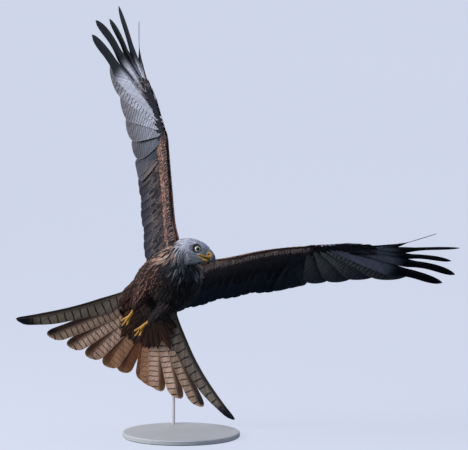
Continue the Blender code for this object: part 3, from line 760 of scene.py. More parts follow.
# %% Covert table
# Each row: place of its roots on the chord, feather length, width in cm, spacing in cm.
ROWS_BELOW = ((0.006, 1.7, 1.0, 0.75), (0.040, 2.1, 1.15, 0.85), (0.080, 2.4, 1.3, 0.95),
              (0.125, 2.7, 1.4, 1.05), (0.175, 3.0, 1.55, 1.15), (0.230, 3.5, 1.7, 1.25),
              (0.290, 5.2, 1.7, 1.2), (0.350, 7.2, 1.9, 1.35), (0.410, 9.0, 2.2, 1.5))
ROWS_ABOVE = ((0.004, 1.6, 1.0, 0.75), (0.035, 2.0, 1.1, 0.82), (0.070, 2.3, 1.2, 0.9),
              (0.110, 2.6, 1.35, 1.0), (0.155, 3.0, 1.5, 1.1), (0.205, 3.5, 1.7, 1.25),
              (0.260, 4.6, 2.0, 1.45), (0.330, 6.8, 2.4, 1.75))


def below_colours(row, q, jitter, side):
    """Tint, rim and streak of an underwing covert in row, at q along the wing."""
    outer = smooth(1.2, 2.2, q)
    rufous = mix(linear("#b48978"), linear("#7b5a4d"), smooth(0.3, 1.0, jitter))
    if side > 0 and row <= 5 and q < 0.35 and jitter > 0.2 + 2.2 * max(q, 0.0):
        # Bold dark feathers run on from the neck over the wing's root.
        return linear("#1a171c"), linear("#6d5148"), 0.14, 0.5
    navy = linear("#1c212c")
    if side < 0 and row >= 2:
        # On the far wing the lining behind its two front rows is painted dark blue as painted
        # shade; only its front edge stays rufous.
        rufous = mix(rufous, linear("#1f3346"), 0.84 + 0.05 * min(row - 2, 3))
    if row <= 1:
        # On the far wing the front row and its edges are painted pale, as painted light on its lit
        # leading edge.
        lit = "#e6cbbb" if row == 0 else "#66534b"
        tint = mix(linear("#695458" if side > 0 else lit), navy, outer)
        edge = linear("#b88e80" if side > 0 else "#c9ab9b")
        return tint, mix(edge, linear("#3c3a44"), outer), 0.26, 0.95 if side > 0 else 0.8
    if row <= 5:
        tint = mix(rufous, navy, outer)
        # The far wing's edges here are painted dark, as painted shade.
        edge = linear("#b38f80" if side > 0 else "#35312f")
        return tint, mix(edge, linear("#3c3a44"), outer), 0.2, 0.85
    # On the far wing the rest of the lining is dimmed and turned blue by the next factor, as
    # painted shade, less so where it is pale.
    dim = 1.0 if side > 0 else np.array((0.20, 0.36, 0.50))
    if row == 6:
        tint = mix(linear("#6a5550"), linear("#4a4854"), outer)
        tint = mix(tint, linear("#26232a"), 0.8 * (jitter > 0.45))
        return tint * dim, mix(linear("#7d665c"), linear("#a08a8a"), outer) * dim, 0.22, 0.95
    pale = smooth(1.0, 2.0, q) * smooth(9.5, 6.0, q)
    # On the far wing the pale patch starts further out and is painted greener and duller, as
    # painted shade.
    if side < 0:
        pale = pale * smooth(1.6, 3.0, q)
    tint = mix(linear("#5a4f51"), linear("#8b8f9c" if side > 0 else "#5b5f58"), pale)
    tint = mix(tint, linear("#1c1d27"), (1 - pale) * smooth(0.25, 0.6, jitter) * 0.9)
    tint = mix(tint, navy, 0.8 * smooth(6.0, 9.5, q))
    edge = mix(linear("#6e6360"), linear("#a9adb9" if side > 0 else "#6c6f68"), pale)
    dim = dim + (1 - dim) * pale
    return tint * dim, edge * dim, 0.24, 0.9 - 0.5 * pale


def above_colours(row, q, jitter, side):
    """The same from above, where neither jitter nor the side changes anything."""
    outer = smooth(1.3, 3.0, q)
    # Rows 0 to 2 are pale rufous: partly the feathers' own colour, partly painted light where the
    # lamp leaves the leading edge in shade.
    if row <= 2:
        tint = mix(linear("#b08373"), linear("#24262e"), smooth(1.3, 2.2, q))
        return tint, mix(linear("#c9a592"), linear("#403b42"), outer), 0.2, 0.8
    if row <= 4:
        tint = mix(linear("#5a3d2d"), linear("#2a211e"), outer)
        return tint, mix(linear("#b07c55"), linear("#5a4436"), outer), 0.3, 0.7
    if row <= 6:
        tint = mix(linear("#a98660"), linear("#33271f"), outer)
        return tint, mix(linear("#cfae86"), linear("#6b523e"), outer), 0.28, 0.55
    tint = mix(linear("#4f3a2b"), linear("#211a18"), outer)
    return tint, mix(linear("#a88562"), linear("#4c3a2e"), outer), 0.14, 0.3


# %% Lay the coverts
COVERT_STATIONS = 6
LAST_ROOT, WING_TIP, PAST_TIP = 10.75, 10.95, 10.98


def covert_rows(side, face):
    """One batch of feathers for each row; face is 1 above and -1 below."""
    rows = ROWS_BELOW if face < 0 else ROWS_ABOVE
    colour_of = below_colours if face < 0 else above_colours
    batches = []
    for row, (v0, length, width, spacing) in enumerate(rows):
        picks = []
        # Every other row starts half a feather further out, as slates do.
        q = (-0.02 if row < 5 else 0.02) + 0.5 * (row % 2) * spacing / ARM_LENGTH
        while q < LAST_ROOT:
            step = 1.0 / ARM_LENGTH if q < 1 else (1.0 / 2.4 if q < 2 else 1.0 / 1.25)
            picks.append(q + chance.normal(0, 0.12) * spacing * step)
            q += spacing * step * (1.0 if q < 6 else 0.85)
        mids, sides, ups, tints, rims, marks, leads, places = [], [], [], [], [], [], [], []
        for q in picks:
            q = float(np.clip(q, -0.03, WING_TIP))
            a = wing_point(side, q, 0.05, face)
            b = wing_point(side, q, 0.95, face)
            chord = max(np.linalg.norm(b - a) / 0.9, 6.0)
            shrink = np.interp(q, (0, 1, 4, 8, 11), (1.0, 1.0, 0.9, 0.7, 0.42))
            long = length * shrink * chance.uniform(0.9, 1.1)
            if row >= 7:
                # Past the wrist the longest coverts stop short of the gaps between fingers.
                long *= np.interp(q, (0, 2.5, 4.5), (1.0, 1.0, 0.7))
            v = v0 * np.interp(q, (0, 1, 11), (1, 1, 0.8)) + np.linspace(
                0, long / chord, COVERT_STATIONS)
            v = np.clip(v + chance.normal(0, 0.004), 0.002, 0.98)
            jitter = chance.uniform()
            lean = chance.normal(0.0, 0.05) + (0.10 if q < 1 else 0.0)
            points, normals, spans = [], [], []
            for i, x in enumerate(v):
                drift = lean * i / COVERT_STATIONS * (1 / ARM_LENGTH if q < 1 else 0.5) * long
                here = float(np.clip(q + drift, -0.03, PAST_TIP))
                normal, spanwise = wing_normal(side, here, min(x, 0.97), face)
                rise = 0.05 + 0.07 * (len(rows) - row) / len(rows)
                rise += 0.13 * (i / (COVERT_STATIONS - 1)) ** 0.8 * min(1.0, length / 3.0)
                points.append(wing_point(side, here, x, face) + normal * rise)
                normals.append(normal)
                spans.append(-spanwise)
            mids.append(points)
            ups.append(normals)
            sides.append(spans)
            tint, rim, rim_wide, streak = colour_of(row, q, jitter, side)
            tints.append(tint * chance.uniform(0.75, 1.25))
            rims.append((*(rim * chance.uniform(0.8, 1.15)), rim_wide))
            marks.append((0.0, 10.0, streak * chance.uniform(0.6, 1.1)))
            leads.append(width / 2 * shrink ** 0.7 * chance.uniform(0.9, 1.1))
            share = 0.02 + 0.96 * q / 11.0
            places.append((share, (0.02 if face < 0 else 0.52) + 0.45 * v[0]))
        s = np.linspace(0, 1, COVERT_STATIONS)
        outline = np.array((0.45, 0.9, 1.0, 0.98, 0.78, 0.12) if row < 6
                           else (0.5, 0.92, 1.0, 0.90, 0.62, 0.05))
        half = np.array(leads)[:, None] * outline[None]
        tint = per_feather(tints) * (0.8 + 0.3 * s[None, :, None, None])
        batches.append(grow(np.array(mids), np.array(sides), np.array(ups), half, half,
                            tint=tint, rim=per_feather(rims), mark=per_feather(marks),
                            cup=0.16, thick=0.03, patch=np.array(places)))
    return batches


for side, word in WORD.items():
    for face, which in ((-1, "under"), (1, "upper")):
        plumage_piece("coverts_%s_%s" % (which, word), covert_rows(side, face), soft_keratin,
                      "flight" if face < 0 else "rufous")

# %% [markdown]
# ## Tail
# The forked tail is the kite's signature: twelve feathers, the outer pair longest and curved
# outwards. From below the inner vanes are buff with thin dark bars, the outer pair is grey,
# and a dark tip crosses the outer feathers. From above the tail glows rufous orange.

# %% Tail feathers
TAIL_AT = np.array((0.0, -11.0, 0.3))
# Middle feather first: length, angle from the tail's middle, and bow to the outside.
RECTRICES = (29.5, 30.0, 30.3, 31.0, 32.5, 36.5)
SPREAD = {1: (1.5, 7.5, 15.0, 23.0, 31.0, 42.0), -1: (9.0, 11.5, 15.0, 23.5, 32.5, 44.0)}
OUTWARD_BOW = {1: (0.0, 0.0, 0.1, 0.3, 0.6, 1.0), -1: (0.0, 0.0, 0.1, 0.4, 1.0, 2.0)}
QUILL_SPACING = {1: 0.9, -1: 0.6}
# Each feather lies this much lower than its inner neighbour, and droops by the angle.
LEVEL = 0.2
DROOP = math.radians(3.0)
tail_turn = np.array(Matrix.Rotation(math.radians(-10), 3, "Z")
                     @ Matrix.Rotation(math.radians(8.5), 3, "Y"))
TAIL_BACK, TAIL_RIGHT, TAIL_UP = -tail_turn[:, 1], tail_turn[:, 0], tail_turn[:, 2]


def lay_rectrix(number, side, column, columns):
    """Vane and shaft of one tail feather; 1 is the middle one, 6 the outer."""
    length = RECTRICES[number - 1]
    angle = math.radians(SPREAD[side][number - 1])
    along = math.cos(angle) * TAIL_BACK + side * math.sin(angle) * TAIL_RIGHT
    outward = side * math.cos(angle) * TAIL_RIGHT - math.sin(angle) * TAIL_BACK
    level = LEVEL * (3.5 - number - (0.5 if side < 0 else 0.0))
    root = TAIL_AT + TAIL_UP * level + TAIL_RIGHT * side * QUILL_SPACING[side] * (number - 0.5)
    s = along_s
    start = 4.0 if number < 6 else 0.5
    reach = start + (length - start) * s
    share = reach / length
    bow = OUTWARD_BOW[side][number - 1] * 4 * share * (1 - share)
    points = root + along * reach[:, None] - outward * bow[:, None]
    side_dir, up_dir = rolled(-outward, TAIL_UP, np.full(STATIONS, DROOP))
    root_wide = smooth(0.0, 0.3, s)
    square = rounded(s, 0.88, 0.122)
    if number == 6:
        # The outer feather's root stands out past the coverts and closes the tail's front.
        push = (1.6 if side > 0 else 2.3) * (1 - s) ** 2
        points = points + outward * push[:, None]
        taper = 0.30 if side > 0 else 0.45
        lead = (0.35 + 0.55 * root_wide) * (1 - 0.3 * smooth(0.7, 1.0, s))
        trail = (0.9 + 2.3 * root_wide) * (1 - taper * smooth(0.70, 1.0, s))
        trail = trail + 0.8 * np.exp(-((s - 0.28) / 0.15) ** 2) + 1.3 * np.exp(-(s / 0.14) ** 2)
        square = rounded(s, 0.93, 0.072)
    else:
        lead = 0.4 + (1.3 if number == 1 else 1.15) * root_wide
        trail = 0.8 + (1.6 if number == 1 else 2.4 - 0.1 * number) * root_wide
    lead, trail = np.maximum(lead * square, THIN), np.maximum(trail * square ** 0.8, THIN)
    under, over = tail_colours(number)
    rim = with_alpha(linear("#d9b79c"), (0.06, 0.07, 0.09, 0.09, 0.09, 0.03)[number - 1])
    mark = np.zeros((1, STATIONS, COLUMNS, 3))
    strength = (0.25, 0.45, 0.85, 0.95, 0.95, 0.9)[number - 1]
    mark[..., 0] = strength * (0.05 + 0.95 * smooth(-0.05, 0.25, across_u))[None, None, :]
    mark[..., 1] = 15.0
    vane = flight_feather(points, side_dir, up_dir, lead, trail, under, over, rim, mark,
                          column, columns)
    return [vane, shaft_of(points, up_dir, SHAFT_RADIUS, TAIL_SHAFT, column, columns)]


def tail_colours(number):
    """Colours of a tail feather's underside and upper side, over its grid."""
    s, u = along_s[:, None], across_u[None, :]
    inner = linear(("#8d5a41", "#c59474", "#edc5ad", "#f0ccb4", "#c6a892", "#877c70")[number - 1])
    outer = linear(("#684330", "#6f4832", "#624331", "#573c2f", "#463630", "#383635")[number - 1])
    under = mix(inner, outer, smooth(0.16, -0.10, u) + 0 * s)
    # The inner vane is palest in its middle and browner at shaft and edge.
    under = mix(under, outer, 0.45 * smooth(0.65, 1.0, u) * smooth(1.0, 0.8, s) + 0 * s)
    under = mix(under, linear("#c08f63"), 0.45 * smooth(0.86, 0.97, s + 0 * u) * (number < 5))
    amount = (0.0, 0.1, 0.3, 0.6, 0.9, 1.0)[number - 1]
    band = smooth(0.82, 0.92, s + 0 * u) * amount
    if number < 6:
        band = band * smooth(0.9, -0.4, u)
    under = mix(under, linear("#181d28"), band)
    over = mix(linear("#a2613a"), linear("#6a3a24"), 0.5 * smooth(0.1, -0.6, u) + 0 * s)
    over = mix(over, linear("#2a1d18"), smooth(0.84, 0.95, s + 0 * u) * (0.3 + 0.12 * number))
    if number == 6:
        over = mix(over, linear("#3a2a22"), 0.6 * smooth(0.2, -0.4, u) + 0 * s)
    return under, over


batches = []
TAIL_PATCHES = 24
for side in WORD:
    for number in range(1, 7):
        column = number - 1 + (6 if side < 0 else 0)
        batches += lay_rectrix(number, side, column, TAIL_PATCHES)
plumage_piece("tail_feathers", batches, stiff_keratin, "tail",
              ["rectrix_%s_%d" % (word, n) for word in WORD.values() for n in range(1, 7)])

# %% [markdown]
# ## One skin under the plumage
# Under its feathers a bird is one skin over trunk, neck, head, legs and the muscled front of
# each wing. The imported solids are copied, joined with a ridge for each brow and a thick limb
# for each wing, and voxel remeshed into one closed form. It's smoothed and drawn in by the
# depth of the coat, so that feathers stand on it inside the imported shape.

# %% Head frame and the line that feathers follow
HEAD_AT = np.array((0.3, 12.9, 0.7))
head_turn = np.array(Matrix.Rotation(math.radians(70), 3, "Z")
                     @ Matrix.Rotation(math.radians(1), 3, "X")
                     @ Matrix.Rotation(math.radians(42), 3, "Y"))
HEAD_MIDDLE = np.array((0, 0.6, 0))
EYE_AT = np.array((1.12, 1.2, 0.25))
EYE_RADIUS = 0.92
# Each leg's knee, ankle and the root of its toes.
LEGS = {1: ((3.4, -3.5, -3.4), (2.6, -10.4, -5.6), (2.5, -12.9, -6.4)),
        -1: ((-3.4, -3.5, -3.4), (-1.9, -10.2, -5.7), (-1.4, -12.6, -6.7))}


def from_head(points):
    """The head's frame to the bird's."""
    return np.asarray(points, float) @ head_turn.T + HEAD_AT


def to_head(points):
    """The bird's frame to the head's: X right, Y along the bill, Z to the crown."""
    return (np.asarray(points, float) - HEAD_AT) @ head_turn


# From the bill over neck and trunk to the end of the tail's wedge.
LINE = np.array([from_head((0, 7.0, -0.5)), from_head((0, 3.5, -0.1)), from_head((0, 1.0, 0)),
                 from_head((0, -2.0, -0.1)), (0.3, 11.2, 0.3), (0, 8.5, 0), (0, 4.0, 0),
                 (0, 0, 0), (0, -6.0, 0), TAIL_AT, TAIL_AT + TAIL_BACK * 6,
                 TAIL_AT + TAIL_BACK * 14])
fine = np.linspace(0, len(LINE) - 1, 90)
LINE_POINTS = np.stack([np.interp(fine, range(len(LINE)), LINE[:, i]) for i in range(3)], axis=1)
for _ in range(6):
    LINE_POINTS[1:-1] = (LINE_POINTS[:-2] + 2 * LINE_POINTS[1:-1] + LINE_POINTS[2:]) / 4
LINE_WAY = unit(np.gradient(LINE_POINTS, axis=0))


def leg_place(points, side):
    """How far down the leg a place is, from 0 to 1, its distance off it and the leg's way."""
    knee, ankle = (np.array(p) for p in LEGS[side][:2])
    t = np.clip((points - knee) @ (ankle - knee) / ((ankle - knee) @ (ankle - knee)), 0, 1)
    off = np.linalg.norm(points - knee - t[:, None] * (ankle - knee), axis=1)
    return t, off, unit(ankle - knee)


def lie(points):
    """Direction that feathers point in at each place, and how far along the bird it is."""
    gap = ((points[:, None] - LINE_POINTS[None]) ** 2).sum(axis=2)
    weight = 1.0 / (gap + 0.4) ** 3
    weight /= weight.sum(axis=1, keepdims=True)
    way = unit(weight @ LINE_WAY)
    share = weight @ (np.arange(len(LINE_POINTS)) / (len(LINE_POINTS) - 1))
    for side in WORD:
        _, off, down_leg = leg_place(points, side)
        near = smooth(3.0, 1.9, off) * smooth(-2.4, -3.6, points[:, 2])
        way = unit(way * (1 - near[:, None]) + down_leg * near[:, None])
    return way, share


# %% Join the flesh and remesh it
def mesh_object(name, points, faces, room=True):
    """A new object from points and faces, in room metres or, if room is off, bird centimetres."""
    mesh = bpy.data.meshes.new(name)
    mesh.from_pydata([tuple(p) for p in (points if room else to_room(points))], [],
                     [tuple(int(i) for i in f) for f in faces])
    mesh.update()
    made = bpy.data.objects.new(name, mesh)
    bpy.context.scene.collection.objects.link(made)
    return made


def copy_of(node, name):
    """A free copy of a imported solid."""
    mesh = node.data
    return mesh_object(name, [tuple(v.co) for v in mesh.vertices],
                       [tuple(p.vertices) for p in mesh.polygons])


def melt(piece, voxel, passes):
    """Remeshes a piece into one closed form of even faces, and smooths it."""
    remesh = piece.modifiers.new("melt", "REMESH")
    remesh.mode, remesh.voxel_size = "VOXEL", voxel
    soften = piece.modifiers.new("soften", "SMOOTH")
    soften.factor, soften.iterations = 0.5, passes
    depsgraph = bpy.context.evaluated_depsgraph_get()
    melted = bpy.data.meshes.new_from_object(piece.evaluated_get(depsgraph))
    piece.modifiers.clear()
    piece.data = melted
    return melted


def paint_points(mesh, colours):
    """Stores a colour for each point, as the attribute that the materials read."""
    layer = mesh.attributes.new("tint", "FLOAT_COLOR", "POINT")
    opaque = np.concatenate((colours, np.ones((len(colours), 1))), axis=1)
    layer.data.foreach_set("color", opaque.astype(np.float32).ravel())


def ring_faces(rings, around):
    """Faces of a closed tube whose points come ring by ring."""
    faces = []
    for r in range(rings - 1):
        for j in range(around):
            k = (j + 1) % around
            faces.append((r * around + j, r * around + k, (r + 1) * around + k,
                          (r + 1) * around + j))
    faces.append(tuple(range(around))[::-1])
    faces.append(tuple(range((rings - 1) * around, rings * around)))
    return faces


def tube_of(points, radii, around=12):
    """A closed tube in bird centimetres round a line of points."""
    points = np.asarray(points, float)
    along = unit(np.gradient(points, axis=0))
    side_dir = unit(np.cross(along[0], (0.31, 0.17, 0.93)))
    rings = []
    for point, way, radius in zip(points, along, radii):
        side_dir = unit(side_dir - way * (side_dir @ way))
        up_dir = np.cross(way, side_dir)
        for j in range(around):
            angle = 2 * math.pi * j / around
            rings.append(point + radius * (math.cos(angle) * side_dir
                                           + math.sin(angle) * up_dir))
    return np.array(rings), ring_faces(len(points), around)


FLESH = ("trunk", "neck", "head", "tail_coverts", "thigh_right", "thigh_left")
SKIN_VOXEL = 0.0026


def gather_flesh():
    """Points and faces of all the solids and limbs that the skin closes over."""
    points, faces = [], []

    def put(new_points, new_faces):
        start = len(points)
        points.extend(new_points)
        faces.extend([tuple(start + i for i in f) for f in new_faces])

    for name in FLESH:
        mesh = NODES[name].data
        put(to_bird([v.co for v in mesh.vertices]), [tuple(p.vertices) for p in mesh.polygons])
    # Loose skin of chin and throat, from the lower bill to the neck.
    throat = from_head([(0, 4.15, -1.25), (0, 3.5, -1.60), (0, 2.5, -1.95), (0, 1.2, -2.3),
                        (0, -0.2, -2.7)])
    put(*tube_of(throat, (0.34, 0.66, 0.95, 1.25, 1.5)))
    for side in WORD:
        brow = from_head([(side * x, y, z) for x, y, z in
                          ((1.30, 2.9, 1.05), (1.72, 2.1, 1.20), (2.02, 1.2, 1.28),
                           (2.05, 0.3, 1.30), (1.85, -0.5, 1.30))])
        put(*tube_of(brow, (0.22, 0.34, 0.38, 0.34, 0.2)))
        rings = []
        spans = np.concatenate((np.linspace(-0.05, 1.0, 10), np.linspace(1.2, 7.0, 14)))
        for q in spans:
            reach = np.interp(q, (0, 1, 7), (0.40, 0.36, 0.22))
            upper = [wing_point(side, q, v, 1) for v in reach * np.linspace(0, 1, 8) ** 1.5]
            lower = [wing_point(side, q, v, -1) for v in reach * np.linspace(0, 1, 8) ** 1.5]
            rings += upper + lower[::-1]
        faces_of = ring_faces(len(spans), 16)
        put(rings, faces_of if side > 0 else [f[::-1] for f in faces_of])
    return np.array(points), faces


flesh_points, flesh_faces = gather_flesh()
skin = mesh_object("skin", flesh_points, flesh_faces, room=False)
melted = melt(skin, SKIN_VOXEL, 10)
print("skin faces:", len(melted.polygons))


# %% Draw the skin in by the depth of the coat, and sink the eye sockets
def mesh_arrays(mesh):
    """A mesh's points and normals in the bird's frame."""
    co = np.empty(len(mesh.vertices) * 3)
    mesh.vertices.foreach_get("co", co)
    no = np.empty(len(mesh.vertices) * 3)
    mesh.vertices.foreach_get("normal", no)
    return to_bird(co.reshape(-1, 3)), no.reshape(-1, 3) @ TURN


def eye_distance(local):
    """How far points of the head's frame are from the line through both eyes' middles."""
    return np.hypot(local[:, 1] - EYE_AT[1], local[:, 2] - EYE_AT[2])


def near_head(local):
    """1 on the head, 0 on the neck and everything else."""
    far = np.linalg.norm(local - HEAD_MIDDLE, axis=1)
    return smooth(4.6, 3.8, far) * smooth(-3.0, -1.5, local[:, 1] + 0.25 * local[:, 2])


def hood(local):
    """1 on the pale hood, fading into streaks on the neck, and how far out a place lies."""
    gap = local - HEAD_MIDDLE
    # Below, the hood ends sooner than above.
    gap[:, 2] *= np.where(local[:, 2] < 0, 1.5, 1.0)
    far = np.linalg.norm(gap, axis=1)
    return smooth(5.0, 3.9, far) * smooth(-4.6, -2.6, local[:, 1] + 0.15 * local[:, 2]), far


SOCKET = 0.86
COAT_DEPTH = 0.30
points, normals = mesh_arrays(melted)
local = to_head(points)
wing_part = smooth(7.0, 9.0, np.abs(points[:, 0]))
on_head = near_head(local)
depth = COAT_DEPTH - 0.18 * on_head - 0.10 * wing_part
points = points - normals * depth[:, None]
local = to_head(points)
for side in WORD:
    off, out = eye_distance(local), local[:, 0] * side
    ball = EYE_AT[0] + np.sqrt(np.clip(EYE_RADIUS ** 2 - off ** 2, 0.02, 1)) - 0.16
    within = (off < 1.15) & (out > 0.4)
    sink = smooth(1.12, SOCKET, off)
    wanted = np.where(within, out * (1 - sink) + np.minimum(out, ball) * sink, out)
    local[:, 0] = np.where(within, wanted * side, local[:, 0])
melted.vertices.foreach_set("co", to_room(from_head(local)).ravel())
melted.update()
points, normals = mesh_arrays(melted)
tree = BVHTree.FromPolygons([Vector(p) for p in points],
                            [tuple(p.vertices) for p in melted.polygons])


# %% [markdown]
# ## Markings and painted shade
# A red kite has a pale grey head with fine dark shaft streaks, a buff neck with bolder ones, a
# rufous body streaked with black and a brown back with buff edges. Here the breast, the bird's left
# underside and the neck's underside are painted near-black blue-grey as painted shade; the rufous
# shows on the right flank and towards the vent. One function gives these colours for any place on
# the bird, and both skin and feathers use it, so a gap between two feathers never shows a wrong
# colour.

# %% Markings of head, neck and body, with painted shade below
def blend(base, new, weight):
    """Mixes a hex colour into an array of colours, by a weight for each."""
    return base * (1 - weight[:, None]) + linear(new) * weight[:, None]


def markings_and_painted_shade(points, normals):
    """Tint, rim colour, rim width and streak strength for places on the bird."""
    local = to_head(points)
    above = smooth(0.10, 0.65, normals[:, 2])
    n = len(points)
    y = points[:, 1]
    # Underside from breast to undertail, then the back. The near-black blue-grey of the breast and
    # the bird's left underside is painted shade; the rufous shows on the right flank and towards
    # the vent.
    tint = np.tile(linear("#1e1e23"), (n, 1))
    tint = blend(tint, "#4a322b", smooth(-1.2, 4.2, points[:, 0]))
    tint = blend(tint, "#3f2922", smooth(-5.0, -12.0, y))
    tint = blend(tint, "#4b372c", above)
    tint = blend(tint, "#7a4a30", above * smooth(-9.0, -14.0, y))
    rim = np.tile(linear("#4f403f"), (n, 1))
    rim = blend(rim, "#a67766", smooth(-1.2, 4.2, points[:, 0]))
    rim = blend(rim, "#4c332a", smooth(-4.0, -9.0, y))
    rim = blend(rim, "#a87d5c", above)
    wide = 0.22 + 0.10 * above
    streak = 1.0 - 0.50 * above - 0.45 * smooth(-7.0, -12.0, y)
    # Neck: buff with bold black streaks. Below, and more on the bird's left, it is painted dark
    # blue-grey as painted shade and merges into the breast's painted shade.
    neck = smooth(3.0, 6.6, y + 0.45 * (points[:, 2] - 0.5))
    under = smooth(-0.2, -2.8, points[:, 2] + 0.45 * points[:, 0])
    tint = blend(tint, "#bb9c8b", neck * (1 - under))
    tint = blend(tint, "#262c33", neck * under)
    rim = blend(rim, "#cdb0a0", neck * (1 - under))
    rim = blend(rim, "#50565c", neck * under)
    wide = wide * (1 - neck) + 0.24 * neck
    streak = streak * (1 - neck) + 0.55 * neck
    # Head: pale grey crown, greyer cheek and throat.
    head, far = hood(local)
    tint = blend(tint, "#bcc2d6", head)
    rim = blend(rim, "#d0d4e4", head)
    low = smooth(-0.3, -2.3, local[:, 2])
    tint = blend(tint, "#868e97", head * low)
    rim = blend(rim, "#a2aab3", head * low)
    wide = wide * (1 - head) + 0.3 * head
    streak = streak * (1 - head) + (0.50 + 0.5 * smooth(2.6, 4.2, far)) * head
    # Lores: thin, greenish grey; the skin close round the eye is dark.
    lores = smooth(2.0, 2.8, local[:, 1]) * smooth(1.2, 0.7, local[:, 2])
    lores = lores * near_head(local)
    tint = blend(tint, "#8b9087", head * lores)
    streak = streak * (1 - 0.7 * head * lores)
    ring = smooth(1.22, 0.98, eye_distance(local))
    tint = blend(tint, "#45444a", near_head(local) * ring * 0.9)
    return tint, rim, wide, streak


tint, rim, _, streak = markings_and_painted_shade(points, normals)
dressed = tint * (1 - 0.55 * streak[:, None])
wing_tint = np.tile(linear("#4a3c3a"), (len(points), 1))
dressed = dressed * (1 - wing_part[:, None]) + wing_tint * wing_part[:, None]
paint_points(melted, dressed)

# %% Down-covered skin
# Skin between feathers is hidden by grey-brown down: matt, softly mottled, never shiny.
down, web, shader = new_material("down_over_skin")
tint_node = add_node(web, "Attribute", attribute_name="tint")
where = add_node(web, "TexCoord")
fluff = add_node(web, "TexNoise", {"Vector": where.outputs["Object"], "Scale": 420.0,
                                   "Detail": 3.0})
mottle = add_node(web, "MapRange", {"Value": fluff.outputs["Fac"], "To Min": 0.65, "To Max": 1.2})
coloured = add_node(web, "VectorMath",
                    {0: tint_node.outputs["Color"], "Scale": mottle.outputs[0]},
                    operation="SCALE")
finish_surface(web, shader, coloured.outputs[0], fluff.outputs["Fac"], 0.6, 0.001,
               {"Roughness": 0.9})
dress(skin, down, "rufous", *FLESH)

# %% [markdown]
# ## Contour feathers
# Small feathers clothe the skin from bill to tail, rooted in it and pointing back. Roots are
# scattered so that no two are nearer than a feather's spacing. Each feather then steps along
# the skin, rises a little, and lies over the next. Face feathers are the smallest.

# %% Scatter roots on the skin
def scatter(count):
    """Random places on the skin, spread by area, with their normals."""
    loops = melted.loop_triangles
    melted.calc_loop_triangles()
    corners = np.empty(len(loops) * 3, np.int32)
    loops.foreach_get("vertices", corners)
    corners = corners.reshape(-1, 3)
    a, b, c = (points[corners[:, i]] for i in range(3))
    area = np.linalg.norm(np.cross(b - a, c - a), axis=1)
    which = chance.choice(len(area), count, p=area / area.sum())
    r, t = np.sqrt(chance.random(count))[:, None], chance.random(count)[:, None]
    place = a[which] * (1 - r) + b[which] * r * (1 - t) + c[which] * r * t
    normal = unit(normals[corners[which]].mean(axis=1))
    return place, normal


def closer(a, b, reach):
    """Whether two places are nearer to each other than reach."""
    d = a - b
    return d[0] * d[0] + d[1] * d[1] + d[2] * d[2] < reach * reach


def thin_out(place, spacing):
    """Keeps places, in order, that are no nearer to a kept one than its own spacing."""
    kept, grid = [], {}
    # Kept places are filed by cube, so that only those in the cubes around need a look.
    keys = np.floor(place / spacing.max()).astype(int)
    around = list(itertools.product((-1, 0, 1), repeat=3))
    for i, key in enumerate(keys):
        crowd = (j for dx, dy, dz in around
                 for j in grid.get((key[0] + dx, key[1] + dy, key[2] + dz), ()))
        if not any(closer(place[i], place[j], spacing[i]) for j in crowd):
            kept.append(i)
            grid.setdefault(tuple(key), []).append(i)
    return np.array(kept)


def feather_size(points):
    """Length, width and spacing of contour feathers in cm, and whether any grow there."""
    local = to_head(points)
    y = points[:, 1]
    length = through((-22, -12, -4, 4, 9, 13), (5.5, 4.4, 3.9, 3.6, 3.0, 2.4), np.clip(y, -22, 13))
    width = length * (0.44 - 0.12 * smooth(2.0, 9.0, y))
    # Where body and wing meet, feathers are short and lie close.
    joint = smooth(5.6, 7.4, np.abs(points[:, 0])) * smooth(-4.0, -1.0, y)
    length = length * (1 - 0.45 * joint)
    width = width * (1 - 0.35 * joint)
    on_head = near_head(local)
    front = smooth(-1.5, 3.2, local[:, 1])
    head_length = 1.7 - 1.2 * front
    chin = smooth(-0.9, -1.7, local[:, 2]) * smooth(-0.5, 1.2, local[:, 1])
    head_length = head_length + 0.9 * chin
    length = length * (1 - on_head) + head_length * on_head
    width = width * (1 - on_head) + (0.12 + 0.20 * head_length) * on_head
    for side in WORD:
        t, off, _ = leg_place(points, side)
        leg = smooth(2.8, 2.1, off) * smooth(-2.6, -3.6, points[:, 2])
        length = length * (1 - leg) + (2.1 - 0.7 * t) * leg
        width = width * (1 - leg) + (0.8 - 0.25 * t) * leg
    spacing = np.sqrt(length * width) * (0.42 - 0.05 * on_head)
    grows = (eye_distance(local) > 0.98) | (np.abs(local[:, 0]) < 0.7) | (local[:, 1] < -1.0)
    grows &= (local[:, 1] < 3.60) | (near_head(local) < 0.5)
    grows &= np.abs(points[:, 0]) < 7.9
    return length, width, spacing, grows


ROOTS_TRIED = 90000
root, root_normal = scatter(ROOTS_TRIED)
length, width, spacing, grows = feather_size(root)
head_zone = near_head(to_head(root)) > 0.15
picked = []
for zone in (head_zone, ~head_zone & (root[:, 1] > 5.0), ~head_zone & (root[:, 1] <= 5.0)):
    index = np.nonzero(zone & grows)[0]
    picked.append(index[thin_out(root[index], spacing[index])])
print("contour feathers:", [len(p) for p in picked])


# %% Lay contour feathers along the skin
TUFT_STATIONS = 6


